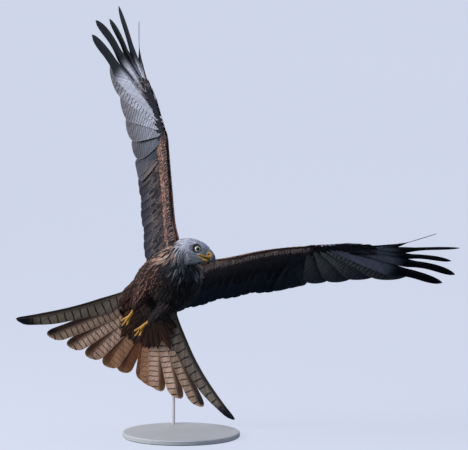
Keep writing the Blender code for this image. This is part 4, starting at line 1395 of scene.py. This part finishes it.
def lay_contour(index):
    """Feathers at the picked roots, each stepped along the skin."""
    place, normal = root[index], root_normal[index]
    long, wide = length[index], width[index]
    n = len(index)
    way, _ = lie(place)
    lean = chance.normal(0, 0.07, n)
    way = unit(way + np.cross(normal, way) * lean[:, None])
    way = unit(way - normal * (way * normal).sum(axis=1, keepdims=True))
    mids = np.empty((n, TUFT_STATIONS, 3))
    ups = np.empty_like(mids)
    here = place.copy()
    mids[:, 0], ups[:, 0] = here - normal * 0.05, normal
    rise = np.minimum(0.17, 0.02 + 0.055 * long) * chance.uniform(0.7, 1.15, n)
    # Loose feathers of flank and vent stand further off and fill the hollow before the tail.
    loose = smooth(-6.0, -9.5, place[:, 1]) * smooth(-16.0, -12.5, place[:, 1])
    rise = rise + (0.25 + 0.35 * smooth(3.0, 6.0, place[:, 0])) * loose
    # So do the feathers of chin and throat.
    local = to_head(place)
    rise = rise + 0.22 * near_head(local) * smooth(-0.9, -1.7, local[:, 2])
    for k in range(1, TUFT_STATIONS):
        here = here + way * (long / (TUFT_STATIONS - 1))[:, None]
        flow, _ = lie(here)
        for i in range(n):
            near, face_normal, _, away = tree.find_nearest(Vector(here[i]))
            # Past an edge, such as the end of the tail's wedge, a feather goes straight on.
            if away < 0.35 * long[i] / (TUFT_STATIONS - 1):
                here[i] = near
                ups[i, k] = face_normal
            else:
                ups[i, k] = ups[i, k - 1]
        ups[:, k] = unit(ups[:, k] * 0.5 + ups[:, k - 1] * 0.5)
        way = unit(way * 0.5 + flow * 0.5)
        way = unit(way - ups[:, k] * (way * ups[:, k]).sum(axis=1, keepdims=True))
        mids[:, k] = here + ups[:, k] * (rise * (k / (TUFT_STATIONS - 1)) ** 0.7)[:, None]
    # A feather that has run off the skin into the air or through the tail is left out.
    tip = mids[:, -1]
    off = np.array([tree.find_nearest(Vector(p))[3] for p in tip])
    rel = tip - TAIL_AT
    back, lift = rel @ TAIL_BACK, rel @ TAIL_UP
    on_tail = (back > 1.0) & (np.abs(rel @ TAIL_RIGHT) < 0.65 * back + 1.0)
    lift_wanted = np.where(normal[:, 2] > 0, (lift > 0.6) & (lift < 1.7), lift < -0.8)
    kept = np.where(on_tail, lift_wanted | (off < 0.55), off < 1.1)
    place, normal, wide, local = (a[kept] for a in (place, normal, wide, local))
    mids, ups, n = mids[kept], ups[kept], int(kept.sum())
    along = unit(np.gradient(mids, axis=1))
    side_dir = unit(np.cross(along, ups))
    up_dir = np.cross(side_dir, along)
    pointed = smooth(4.0, 9.0, place[:, 1])[:, None]
    round_tip = np.array((0.45, 0.90, 1.0, 0.96, 0.70, 0.06))[None]
    lance = np.array((0.45, 0.95, 1.0, 0.78, 0.42, 0.03))[None]
    half = wide[:, None] / 2 * (round_tip * (1 - pointed) + lance * pointed)
    tint, rim, rim_wide, streak = markings_and_painted_shade(place, normal)
    tint = tint * chance.uniform(0.78, 1.22, (n, 1))
    rim = rim * chance.uniform(0.8, 1.2, (n, 1))
    # Dark feathers among the buff ones streak the neck and shoulders boldly.
    hooded, _ = hood(local)
    bold = 0.40 * smooth(0.5, 5.5, place[:, 1]) * (1 - hooded)
    black = (chance.random(n) < bold)[:, None]
    tint = np.where(black, linear("#15141a"), tint)
    rim = np.where(black, rim * 0.35, rim)
    # Below the hood a few pale feathers carry its grey down the throat.
    shade = smooth(7.0, 4.6, np.linalg.norm(local, axis=1)) * (1 - hooded)
    pale = (chance.random(n) < 0.4 * shade)[:, None] & ~black
    tint = np.where(pale, linear("#5d646c"), tint)
    rim = np.where(pale, linear("#8d949c"), rim)
    mark = np.stack((np.zeros(n), np.full(n, 10.0), streak * chance.uniform(0.7, 1.1, n)), axis=1)
    rim = np.concatenate((rim, rim_wide[:, None]), axis=1)
    return grow(mids, side_dir, up_dir, half, half, tint=per_feather(tint),
                rim=per_feather(rim), mark=per_feather(mark), cup=0.26, thick=0.025,
                patch=on_skin(place))


def on_skin(place):
    """Place on the skin's own map: how far along the bird, and the turn about its line."""
    _, share = lie(place)
    gap = ((place[:, None] - LINE_POINTS[None]) ** 2).sum(axis=2)
    near = gap.argmin(axis=1)
    way = LINE_WAY[near]
    up = unit(np.array((0, 0, 1.0)) - way * way[:, 2:3])
    right = np.cross(way, up)
    arm = place - LINE_POINTS[near]
    angle = np.arctan2((arm * up).sum(axis=1), (arm * right).sum(axis=1))
    turn = 0.005 + 0.985 * (angle + math.pi) / (2 * math.pi)
    return np.stack((share * 0.99, turn), axis=1)


# Each row: distance of its roots behind the tail's root, feather length, number, half fan.
UNDERTAIL = ((1.0, 6.5, 13, 40), (2.8, 7.2, 13, 38), (4.6, 7.8, 12, 33), (6.3, 8.2, 11, 26),
             (7.8, 8.8, 9, 20), (9.0, 9.2, 6, 13))


def lay_undertail():
    """Long soft feathers over the quills of the tail, shingled from below."""
    mids, sides, ups, halves, tints, rims, marks = [], [], [], [], [], [], []
    s = np.linspace(0, 1, TUFT_STATIONS)
    for row, (start, length, count, fan) in enumerate(UNDERTAIL):
        for spot in np.linspace(-1, 1, count):
            # The fan is wider on the bird's left.
            angle = math.radians(spot * fan * (1 if spot > 0 else 1.35) + chance.normal(0, 2.0))
            way = math.cos(angle) * TAIL_BACK + math.sin(angle) * TAIL_RIGHT
            across = math.cos(angle) * TAIL_RIGHT - math.sin(angle) * TAIL_BACK
            long = length * chance.uniform(0.85, 1.1) * (1 - 0.2 * abs(spot))
            reach = start + long * s
            depth = -1.60 + 0.12 * row + 0.35 * s - 0.10 * abs(spot)
            sway = chance.normal(0, 0.3) * s ** 2
            mids.append(TAIL_AT + way * reach[:, None] + across * sway[:, None]
                        + TAIL_UP * depth[:, None])
            sides.append(np.tile(-across, (TUFT_STATIONS, 1)))
            ups.append(np.tile(-TAIL_UP, (TUFT_STATIONS, 1)))
            halves.append(1.05 * chance.uniform(0.85, 1.15)
                          * np.array((0.5, 0.9, 1.0, 0.9, 0.62, 0.05)))
            tints.append(mix(linear("#38241e"), linear("#5d3c2c"),
                             chance.uniform() * (0.3 + 0.14 * row)))
            rims.append((*linear("#5d4034"), 0.16))
            marks.append((0.0, 10.0, 0.55 * chance.uniform(0.5, 1.2)))
    mids, half = np.array(mids), np.array(halves)
    return grow(mids, np.array(sides), np.array(ups), half, half, tint=per_feather(tints),
                rim=per_feather(rims), mark=per_feather(marks), cup=0.22, thick=0.025,
                patch=on_skin(mids[:, 0]))


for name, index in zip(("coat_head", "coat_neck", "coat_body"), picked):
    batches = [lay_contour(index)] + ([lay_undertail()] if name == "coat_body" else [])
    plumage_piece(name, batches, soft_keratin, "grey_head" if name != "coat_body" else "rufous")

# %% [markdown]
# ## Bill
# The bill is horn over bone: a hooked upper half, a plain lower half behind it, and at its base
# the cere, a patch of bare waxy yellow skin with the nostrils in it. Rings are lofted from the
# solids' table, finer than theirs, and the nostril is a real dent.

# %% Build the bill
# Each ring: forward, height, half width and half height, in centimetres in the head's frame.
CULMEN = ((3.2, 0.22, 0.80, 1.18), (3.55, 0.2, 0.82, 1.2), (4.3, 0.1, 0.70, 0.98),
          (5.0, -0.12, 0.52, 0.66), (5.5, -0.66, 0.36, 0.44), (5.95, -1.3, 0.19, 0.24),
          (6.2, -1.95, 0.05, 0.06))
MANDIBLE = ((3.2, -1.24, 0.66, 0.34), (3.55, -1.22, 0.64, 0.36), (4.4, -1.16, 0.52, 0.36),
            (5.05, -1.00, 0.32, 0.36), (5.5, -0.90, 0.14, 0.22))
NOSTRIL = np.array((0.56, 4.10, 0.12))
NOSTRIL_DEEP = 0.16
CERE_END = 4.74


def horn_piece(name, table, rings, around, replaced, upper):
    """Lofts one half of the bill through its table and colours it, point by point."""
    table = np.array(table)
    gaps = np.concatenate(((0,), np.cumsum(np.linalg.norm(np.diff(table[:, :2], axis=0), axis=1))))
    t = np.linspace(0, gaps[-1], rings)
    y, z, wide, high = (through(gaps, table[:, i], t) for i in range(4))
    way = unit(np.stack((np.gradient(y), np.gradient(z)), axis=1))
    angle = np.linspace(0, 2 * math.pi, around, endpoint=False)
    local = []
    cos, sin = np.cos(angle), np.sin(angle)
    # A narrow keel on top and a flat cutting edge below, as a bill has.
    top = np.where(sin > 0, sin, sin * (0.92 if upper else 1.0))
    pinch = 1 - 0.16 * np.clip(sin, 0, 1) ** 2 if upper else 1.0
    for i in range(rings):
        right = max(wide[i], THIN) * cos * pinch
        lift = max(high[i], THIN) * top
        local.append(np.stack((right, y[i] - way[i, 1] * lift, z[i] + way[i, 0] * lift), axis=1))
    local = np.concatenate(local)
    cere = np.zeros(len(local))
    dark = np.zeros(len(local))
    if upper:
        # The cere reaches neither the ridge, which forehead feathers cover, nor the edge.
        edge = CERE_END - 0.25 * smooth(0.3, -0.9, local[:, 2])
        cere = smooth(edge + 0.06, edge - 0.06, local[:, 1])
        cere = cere * smooth(0.95, 0.70, local[:, 2] + 0.25 * (local[:, 1] - 3.6))
        # The cere is a little swollen and ends in a low step on the horn.
        centre = np.stack((np.zeros(len(local)), local[:, 1], np.full(len(local), -0.05)), axis=1)
        local = local + unit(local - centre) * (0.05 * cere)[:, None]
        for side in WORD:
            gap = local - NOSTRIL * (side, 1, 1)
            slit = np.sqrt((gap[:, 1] * 0.9 + gap[:, 2] * 0.5) ** 2 / 0.26 ** 2
                           + (gap[:, 2] - gap[:, 1] * 0.4) ** 2 / 0.20 ** 2)
            here = np.sign(local[:, 0]) == side
            local[:, 0] -= side * NOSTRIL_DEEP * smooth(1.5, 0.5, slit) * here
            # The inside of each nostril is painted near-black, as painted shade in the opening.
            dark = np.maximum(dark, smooth(1.3, 0.7, slit) * here)
    piece = mesh_object(name, from_head(local), ring_faces(rings, around), room=False)
    base, horn, run = (("#85828a", "#2b2a2f", smooth(CERE_END, 5.3, local[:, 1])) if upper
                       else ("#b08a3a", "#3b3a3c", smooth(3.9, 4.4, local[:, 1])))
    tint = mix(linear(base), linear(horn), run)
    if upper:
        # The ridge is darkest; the sides are paler, as thin horn is.
        ridge = smooth(0.34, 0.10, np.abs(local[:, 0])) * smooth(-1.7, -0.9, local[:, 2])
        tint = mix(tint, linear("#16161b"), 0.85 * ridge * (1 - cere))
    tint = mix(tint, linear("#d9a238"), cere)
    # Nostril: painted shade.
    tint = mix(tint, linear("#0c0808"), dark)
    if upper:
        # Bristly grey skin of the lores covers the cere's hind part.
        hind = 3.80 + 0.15 * smooth(0.3, -0.6, local[:, 2])
        tint = mix(tint, linear("#8b9087"), smooth(hind + 0.10, hind - 0.10, local[:, 1]))
    paint_points(piece.data, tint)
    return dress(piece, bill_horn, "horn", replaced)


# Horn is keratin grown in layers: smooth and a little glossy, with faint lines along its growth.
bill_horn, web, shader = new_material("bill_horn_and_waxy_cere")
tint_node = add_node(web, "Attribute", attribute_name="tint")
where = add_node(web, "TexCoord")
growth = add_node(web, "TexNoise", {"Vector": where.outputs["Object"], "Scale": 260.0,
                                    "Detail": 4.0, "Roughness": 0.65})
worn = add_node(web, "MapRange", {"Value": growth.outputs["Fac"], "From Min": 0.3,
                                  "From Max": 0.7, "To Min": 0.82, "To Max": 1.15})
coloured = add_node(web, "VectorMath",
                    {0: tint_node.outputs["Color"], "Scale": worn.outputs[0]}, operation="SCALE")
finish_surface(web, shader, coloured.outputs[0], growth.outputs["Fac"], 0.25, 0.0005,
               {"Roughness": 0.36, "IOR": KERATIN_IOR})

upper_bill = horn_piece("bill_upper_horn", CULMEN, 56, 44, "bill_upper", True)
lower_bill = horn_piece("bill_lower_horn", MANDIBLE, 24, 24, "bill_lower", False)
print("bill points:", len(upper_bill.data.vertices) + len(lower_bill.data.vertices))


# %% [markdown]
# ## Gape, eyes and lids
# A yellow fold of skin runs back from the bill's corner to below the eye. The eye is a moist
# ball in its socket: black pupil, pale iris with fine spokes, and a dark rim. A lid of bare
# grey skin closes round it, and the brow above shades it, which makes the stern look.

# %% Gape folds
def bare_skin(name, hex_colour, roughness):
    """Bare waxy skin: fine pores and folds, a soft gloss."""
    material, web, shader = new_material(name)
    where = add_node(web, "TexCoord")
    pores = add_node(web, "TexVoronoi", {"Vector": where.outputs["Object"], "Scale": 900.0})
    cloud = add_node(web, "TexNoise", {"Vector": where.outputs["Object"],
                                       "Scale": 120.0, "Detail": 3.0})
    vary = add_node(web, "Mix",
                    {"Factor": cloud.outputs["Fac"], "A": rgba(hex_colour, 0.72),
                     "B": rgba(hex_colour, 1.2)}, data_type="RGBA")
    finish_surface(web, shader, vary.outputs["Result"], pores.outputs["Distance"], 0.35, 0.0004,
                   {"Roughness": roughness})
    return material


gape_skin = bare_skin("waxy_yellow_skin", "#d19d3c", 0.45)
lid_skin = bare_skin("grey_lid_skin", "#4a4742", 0.5)
gape_slit = bare_skin("dark_gape_slit", "#2a1a12", 0.6)

# For each fold of the gape: places forward and in height, its radius and how far it stands out.
GAPE = {"upper": (((4.30, -0.50), (3.7, -0.56), (3.2, -0.60), (2.7, -0.66), (2.2, -0.82),
                   (1.6, -1.06)), 0.17, 0.0),
        "lower": (((4.5, -1.36), (3.7, -1.38), (3.1, -1.33), (2.6, -1.25), (2.1, -1.18),
                   (1.7, -1.18)), 0.20, 0.0),
        "slit": (((4.5, -0.97), (3.7, -0.98), (3.1, -0.95), (2.5, -0.94), (1.9, -1.01),
                  (1.0, -1.22)), 0.10, 0.08)}
# Forward of this the fold follows the bill's own half width, behind it the skin.
FOLD_LEAVES_SKIN = 3.45
for side, word in WORD.items():
    for fold_name, (route, radius, stand_out) in GAPE.items():
        line = []
        for y, rise in route:
            reach = stand_out + float(
                np.interp(y, (1.0, 2.4, 3.4, 3.8, 4.5), (2.2, 1.7, 1.05, 0.74, 0.58)))
            start = from_head((side * (reach + 1.0), y, rise))
            inward = unit(from_head((0, y, rise)) - start)
            hit = tree.ray_cast(Vector(start), Vector(inward))[0]
            found = hit is not None and y < FOLD_LEAVES_SKIN
            line.append(np.array(hit) if found else from_head((side * reach, y, rise)))
        ease_in = np.sin(np.linspace(0.25, 1.0, len(line)) * np.pi) ** 0.5 * 0.9 + 0.1
        fold = mesh_object("gape_%s_%s" % (fold_name, word), *tube_of(line, radius * ease_in),
                           room=False)
        dress(fold, gape_slit if fold_name == "slit" else gape_skin, "cere")
print("gape folds:", 2 * len(GAPE))


# %% Moist eye
# An eye's wet film is the glossiest thing on the bird: clear, smooth, with a sharp highlight.
iris_wet, web, shader = new_material("moist_eye")
tint_node = add_node(web, "Attribute", attribute_name="tint")
where = add_node(web, "TexCoord")
specks = add_node(web, "TexNoise", {"Vector": where.outputs["Object"], "Scale": 1500.0,
                                    "Detail": 2.0})
fleck = add_node(web, "MapRange", {"Value": specks.outputs["Fac"], "From Min": 0.35,
                                   "From Max": 0.65, "To Min": 0.85, "To Max": 1.1})
coloured = add_node(web, "VectorMath",
                    {0: tint_node.outputs["Color"], "Scale": fleck.outputs[0]}, operation="SCALE")
web.links.new(coloured.outputs[0], shader.inputs["Base Color"])
shader.inputs["Roughness"].default_value = 0.12
shader.inputs["IOR"].default_value = 1.376
shader.inputs["Coat Weight"].default_value = 0.5
shader.inputs["Coat Roughness"].default_value = 0.02

# %% Eyeballs and lids
# Angles from the gaze axis, with fine rings at the edges of pupil and iris.
EYE_RINGS = np.radians(np.concatenate((np.linspace(0, 20, 6), np.linspace(21.5, 50, 16),
                                       np.linspace(52, 60, 5), np.linspace(66, 180, 14))))
EYE_AROUND = 72
PUPIL, IRIS_EDGE = math.radians(23), math.radians(47)
# Each row of the lid: distance from the gaze axis, and height over the ball.
LID_ROWS = ((0.70, 0.00), (0.73, 0.07), (0.80, 0.11), (0.88, 0.10), (0.97, 0.03), (1.06, -0.12))
LID_STEPS = 64
for side, word in WORD.items():
    gaze = unit(np.array((side * 1.0, 0.25, 0.0)))
    up_dir = unit(np.array((0, 0, 1.0)) - gaze * gaze[2])
    right = np.cross(gaze, up_dir)
    local, tints = [], []
    for a in EYE_RINGS:
        for j in range(EYE_AROUND):
            turn = 2 * math.pi * j / EYE_AROUND
            radius = EYE_RADIUS * (1 + 0.04 * math.exp(-(a / 0.5) ** 2))
            local.append(EYE_AT * (side, 1, 1) + radius * (
                math.cos(a) * gaze + math.sin(a) * (math.cos(turn) * right
                                                    + math.sin(turn) * up_dir)))
            spoke = 0.9 + 0.12 * math.sin(turn * 23 + 3 * math.sin(turn * 5)) * min(1, a * 2)
            inner = float(smooth(PUPIL, PUPIL + 0.25, a))
            iris = linear("#c6c9ba") * (0.75 + 0.3 * inner) * spoke
            colour = np.where(a < PUPIL + 0.01, linear("#050506"), iris)
            tints.append(np.where(a > IRIS_EDGE, linear("#17140f"), colour))
    ball = mesh_object("eyeball_" + word, from_head(local),
                       ring_faces(len(EYE_RINGS), EYE_AROUND), room=False)
    paint_points(ball.data, np.array(tints))
    dress(ball, iris_wet, "iris", "eye_" + word)

    # Lid: a soft band from the ball's surface out to the feathers.
    local = []
    for j in range(LID_STEPS):
        turn = 2 * math.pi * j / LID_STEPS
        brow = 1 - 0.10 * max(0.0, math.sin(turn)) ** 2
        corner = 1 + 0.07 * math.cos(turn) ** 4
        for radius, rise in LID_ROWS:
            off = radius * brow * corner
            base = math.sqrt(max(EYE_RADIUS ** 2 - min(off, 0.9) ** 2, 0.03))
            ripple = 0.012 * math.sin(turn * 21 + radius * 9) if 0.72 < radius < 1.0 else 0.0
            local.append(EYE_AT * (side, 1, 1) + (base + rise + ripple) * gaze
                         + off * (math.cos(turn) * right + math.sin(turn) * up_dir))
    many = len(LID_ROWS)
    faces = []
    for j in range(LID_STEPS):
        this, after = j * many, (j + 1) % LID_STEPS * many
        faces += [(this + k, this + k + 1, after + k + 1, after + k) for k in range(many - 1)]
    lid = mesh_object("eyelid_" + word, from_head(local), faces, room=False)
    leaf = lid.modifiers.new("thickness", "SOLIDIFY")
    leaf.thickness, leaf.offset = 0.0005, 0.0
    dress(lid, lid_skin, "grey_head")
print("eyes set")

# %% [markdown]
# ## Feet and claws
# Kites have small feet: a short bare tarsus and four toes in yellow scales. Cross scales
# (scutes) run along the top of each toe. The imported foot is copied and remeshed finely, and
# each point is pushed out in ridges along its toe. Claws are smoothed copies in dark horn.

# %% Feet
foot_skin, web, shader = new_material("scaly_yellow_foot_skin")
where = add_node(web, "TexCoord")
# Scales about 1.5 mm across.
scales = add_node(web, "TexVoronoi", {"Vector": where.outputs["Object"],
                                      "Scale": 620.0}, feature="DISTANCE_TO_EDGE")
seam = add_node(web, "MapRange", {"Value": scales.outputs["Distance"], "From Min": 0.0,
                                  "From Max": 0.12, "To Min": 0.45, "To Max": 1.0})
tone = add_node(web, "TexNoise", {"Vector": where.outputs["Object"], "Scale": 90.0})
vary = add_node(web, "Mix", {"Factor": tone.outputs["Fac"], "A": rgba("#b9832c"),
                             "B": rgba("#e0b053")}, data_type="RGBA")
coloured = add_node(web, "VectorMath", {0: vary.outputs["Result"],
                                        "Scale": seam.outputs[0]}, operation="SCALE")
finish_surface(web, shader, coloured.outputs[0], seam.outputs[0], 0.6, 0.0005,
               {"Roughness": 0.5})

FOOT_VOXEL = 0.0006
# A scute's length along the toe, and how high its ridge stands, in centimetres.
SCUTE, SCUTE_HIGH = 0.26, 0.035
for side, word in WORD.items():
    foot = copy_of(NODES["foot_" + word], "scaled_foot_" + word)
    fine_foot = melt(foot, FOOT_VOXEL, 6)
    place, normal = mesh_arrays(fine_foot)
    toe_root = np.array(LEGS[side][2])
    ridge = np.abs(np.sin(np.pi * np.linalg.norm(place - toe_root, axis=1) / SCUTE))
    topside = smooth(-0.3, 0.5, normal[:, 2] - 0.4 * normal[:, 1])
    place = place + normal * ((ridge ** 0.5 - 0.5) * SCUTE_HIGH * topside)[:, None]
    fine_foot.vertices.foreach_set("co", to_room(place).ravel())
    fine_foot.update()
    dress(foot, foot_skin, "cere", "foot_" + word)
    print(foot.name, "faces:", len(fine_foot.polygons))

# %% Claws
# Claw horn: black, polished by use, with a faint paler grain.
claw_horn, web, shader = new_material("black_claw_horn")
where = add_node(web, "TexCoord")
grain = add_node(web, "TexNoise", {"Vector": where.outputs["Object"], "Scale": 700.0,
                                   "Detail": 3.0})
vary = add_node(web, "Mix", {"Factor": grain.outputs["Fac"], "A": rgba("#131214"),
                             "B": rgba("#34302f")}, data_type="RGBA")
finish_surface(web, shader, vary.outputs["Result"], grain.outputs["Fac"], 0.2, 0.0003,
               {"Roughness": 0.3})

CLAW_VOXEL = 0.0004
claws = [name for name in NODES if name.startswith("claw_")]
for name in claws:
    claw = copy_of(NODES[name], "horn_" + name)
    melt(claw, CLAW_VOXEL, 5)
    dress(claw, claw_horn, "horn", name)
print("claws:", len(claws))

# %% [markdown]
# ## Display stand
# The bird is held by a bent steel rod on a round steel base, as a museum mounts it. Both are
# powder coated: matt, with a very fine orange-peel texture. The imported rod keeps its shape.

# %% Powder-coated steel
coated_steel, web, shader = new_material("powder_coated_steel")
where = add_node(web, "TexCoord")
peel = add_node(web, "TexNoise", {"Vector": where.outputs["Object"], "Scale": 900.0,
                                  "Detail": 2.0})
wear = add_node(web, "TexNoise", {"Vector": where.outputs["Object"], "Scale": 14.0,
                                  "Detail": 4.0})
vary = add_node(web, "Mix", {"Factor": wear.outputs["Fac"], "A": rgba("#b4b7bd"),
                             "B": rgba("#c6c9cf")}, data_type="RGBA")
finish_surface(web, shader, vary.outputs["Result"], peel.outputs["Fac"], 0.2, 0.0003,
               {"Roughness": 0.55})
for name in ("stand_rod", "stand_base"):
    NODES[name].data.materials.clear()
    NODES[name].data.materials.append(coated_steel)
    for slot in NODES[name].material_slots:
        slot.material = coated_steel
print("stand coated")

# %% [markdown]
# ## Floor and light
# The photograph is taken against an even pale sky. A very wide pale floor fills the picture's
# background, because the camera looks down a little. Light is soft from above and a broad lamp on
# the upper left, so the raised right wing glows and the far wing's underside, painted darker as
# well, stays dark.

# %% Floor
SKY = "#d3daec"
FLOOR_HALF = 150
FLOOR_GLOW = 0.88
corners = [(x * FLOOR_HALF, y * FLOOR_HALF, 0) for x, y in ((-1, -1), (1, -1), (1, 1), (-1, 1))]
floor = mesh_object("floor", corners, [(0, 1, 2, 3)])
paper, web, shader = new_material("pale_matt_floor")
where = add_node(web, "TexCoord")
cloud = add_node(web, "TexNoise", {"Vector": where.outputs["Object"], "Scale": 0.15})
vary = add_node(web, "Mix", {"Factor": cloud.outputs["Fac"], "A": rgba(SKY, 0.97),
                             "B": rgba(SKY, 1.02)}, data_type="RGBA")
dim = add_node(web, "VectorMath", {0: vary.outputs["Result"], "Scale": 0.16}, operation="SCALE")
web.links.new(dim.outputs[0], shader.inputs["Base Color"])
web.links.new(vary.outputs["Result"], shader.inputs["Emission Color"])
shader.inputs["Emission Strength"].default_value = FLOOR_GLOW
shader.inputs["Roughness"].default_value = 1.0
shader.inputs["Specular IOR Level"].default_value = 0.0
floor.data.materials.append(paper)
# The glowing floor isn't seen by the bird, so that the undersides stay in shade.
floor.visible_diffuse = False
floor.visible_glossy = False
print("floor half width in metres:", FLOOR_HALF)

# %% World and lamp
SKY_STRENGTH = 0.66
LAMP_FAR, LAMP_SIZE, LAMP_POWER = 3.2, 1.6, 105
world = bpy.data.worlds.new("soft_sky")
world.use_nodes = True
bpy.context.scene.world = world
web = world.node_tree
background = web.nodes["Background"]
where = add_node(web, "TexCoord")
height = add_node(web, "SeparateXYZ", {"Vector": where.outputs["Generated"]})
up_share = add_node(web, "MapRange", {"Value": height.outputs["Z"], "From Min": -0.06,
                                      "From Max": 0.0})
glow = add_node(web, "Mix", {"Factor": up_share.outputs[0], "A": rgba("#111c2b"),
                             "B": rgba(SKY)}, data_type="RGBA")
# The sky is brightest near the horizon, where it meets the pale floor.
low_sky = add_node(web, "MapRange", {"Value": height.outputs["Z"], "From Min": 0.18,
                                     "From Max": 0.42, "To Min": 1.58, "To Max": 1.0})
sky_light = add_node(web, "VectorMath",
                     {0: glow.outputs["Result"], "Scale": low_sky.outputs[0]}, operation="SCALE")
web.links.new(sky_light.outputs[0], background.inputs["Color"])
background.inputs["Strength"].default_value = SKY_STRENGTH
# A broad square lamp, warm as low sun, aimed at the bird from the upper left.
lamp_data = bpy.data.lights.new("key", "AREA")
lamp_data.size, lamp_data.energy = LAMP_SIZE, LAMP_POWER
lamp_data.color = tuple(linear("#fffaf4"))
lamp = bpy.data.objects.new("key", lamp_data)
bpy.context.scene.collection.objects.link(lamp)
to_lamp = Vector((-0.86, -0.25, 0.45)).normalized()
lamp.location = BIRD_AT + to_lamp * LAMP_FAR
lamp.rotation_euler = (-to_lamp).to_track_quat("-Z", "Y").to_euler()
print("lit by one lamp and the sky")
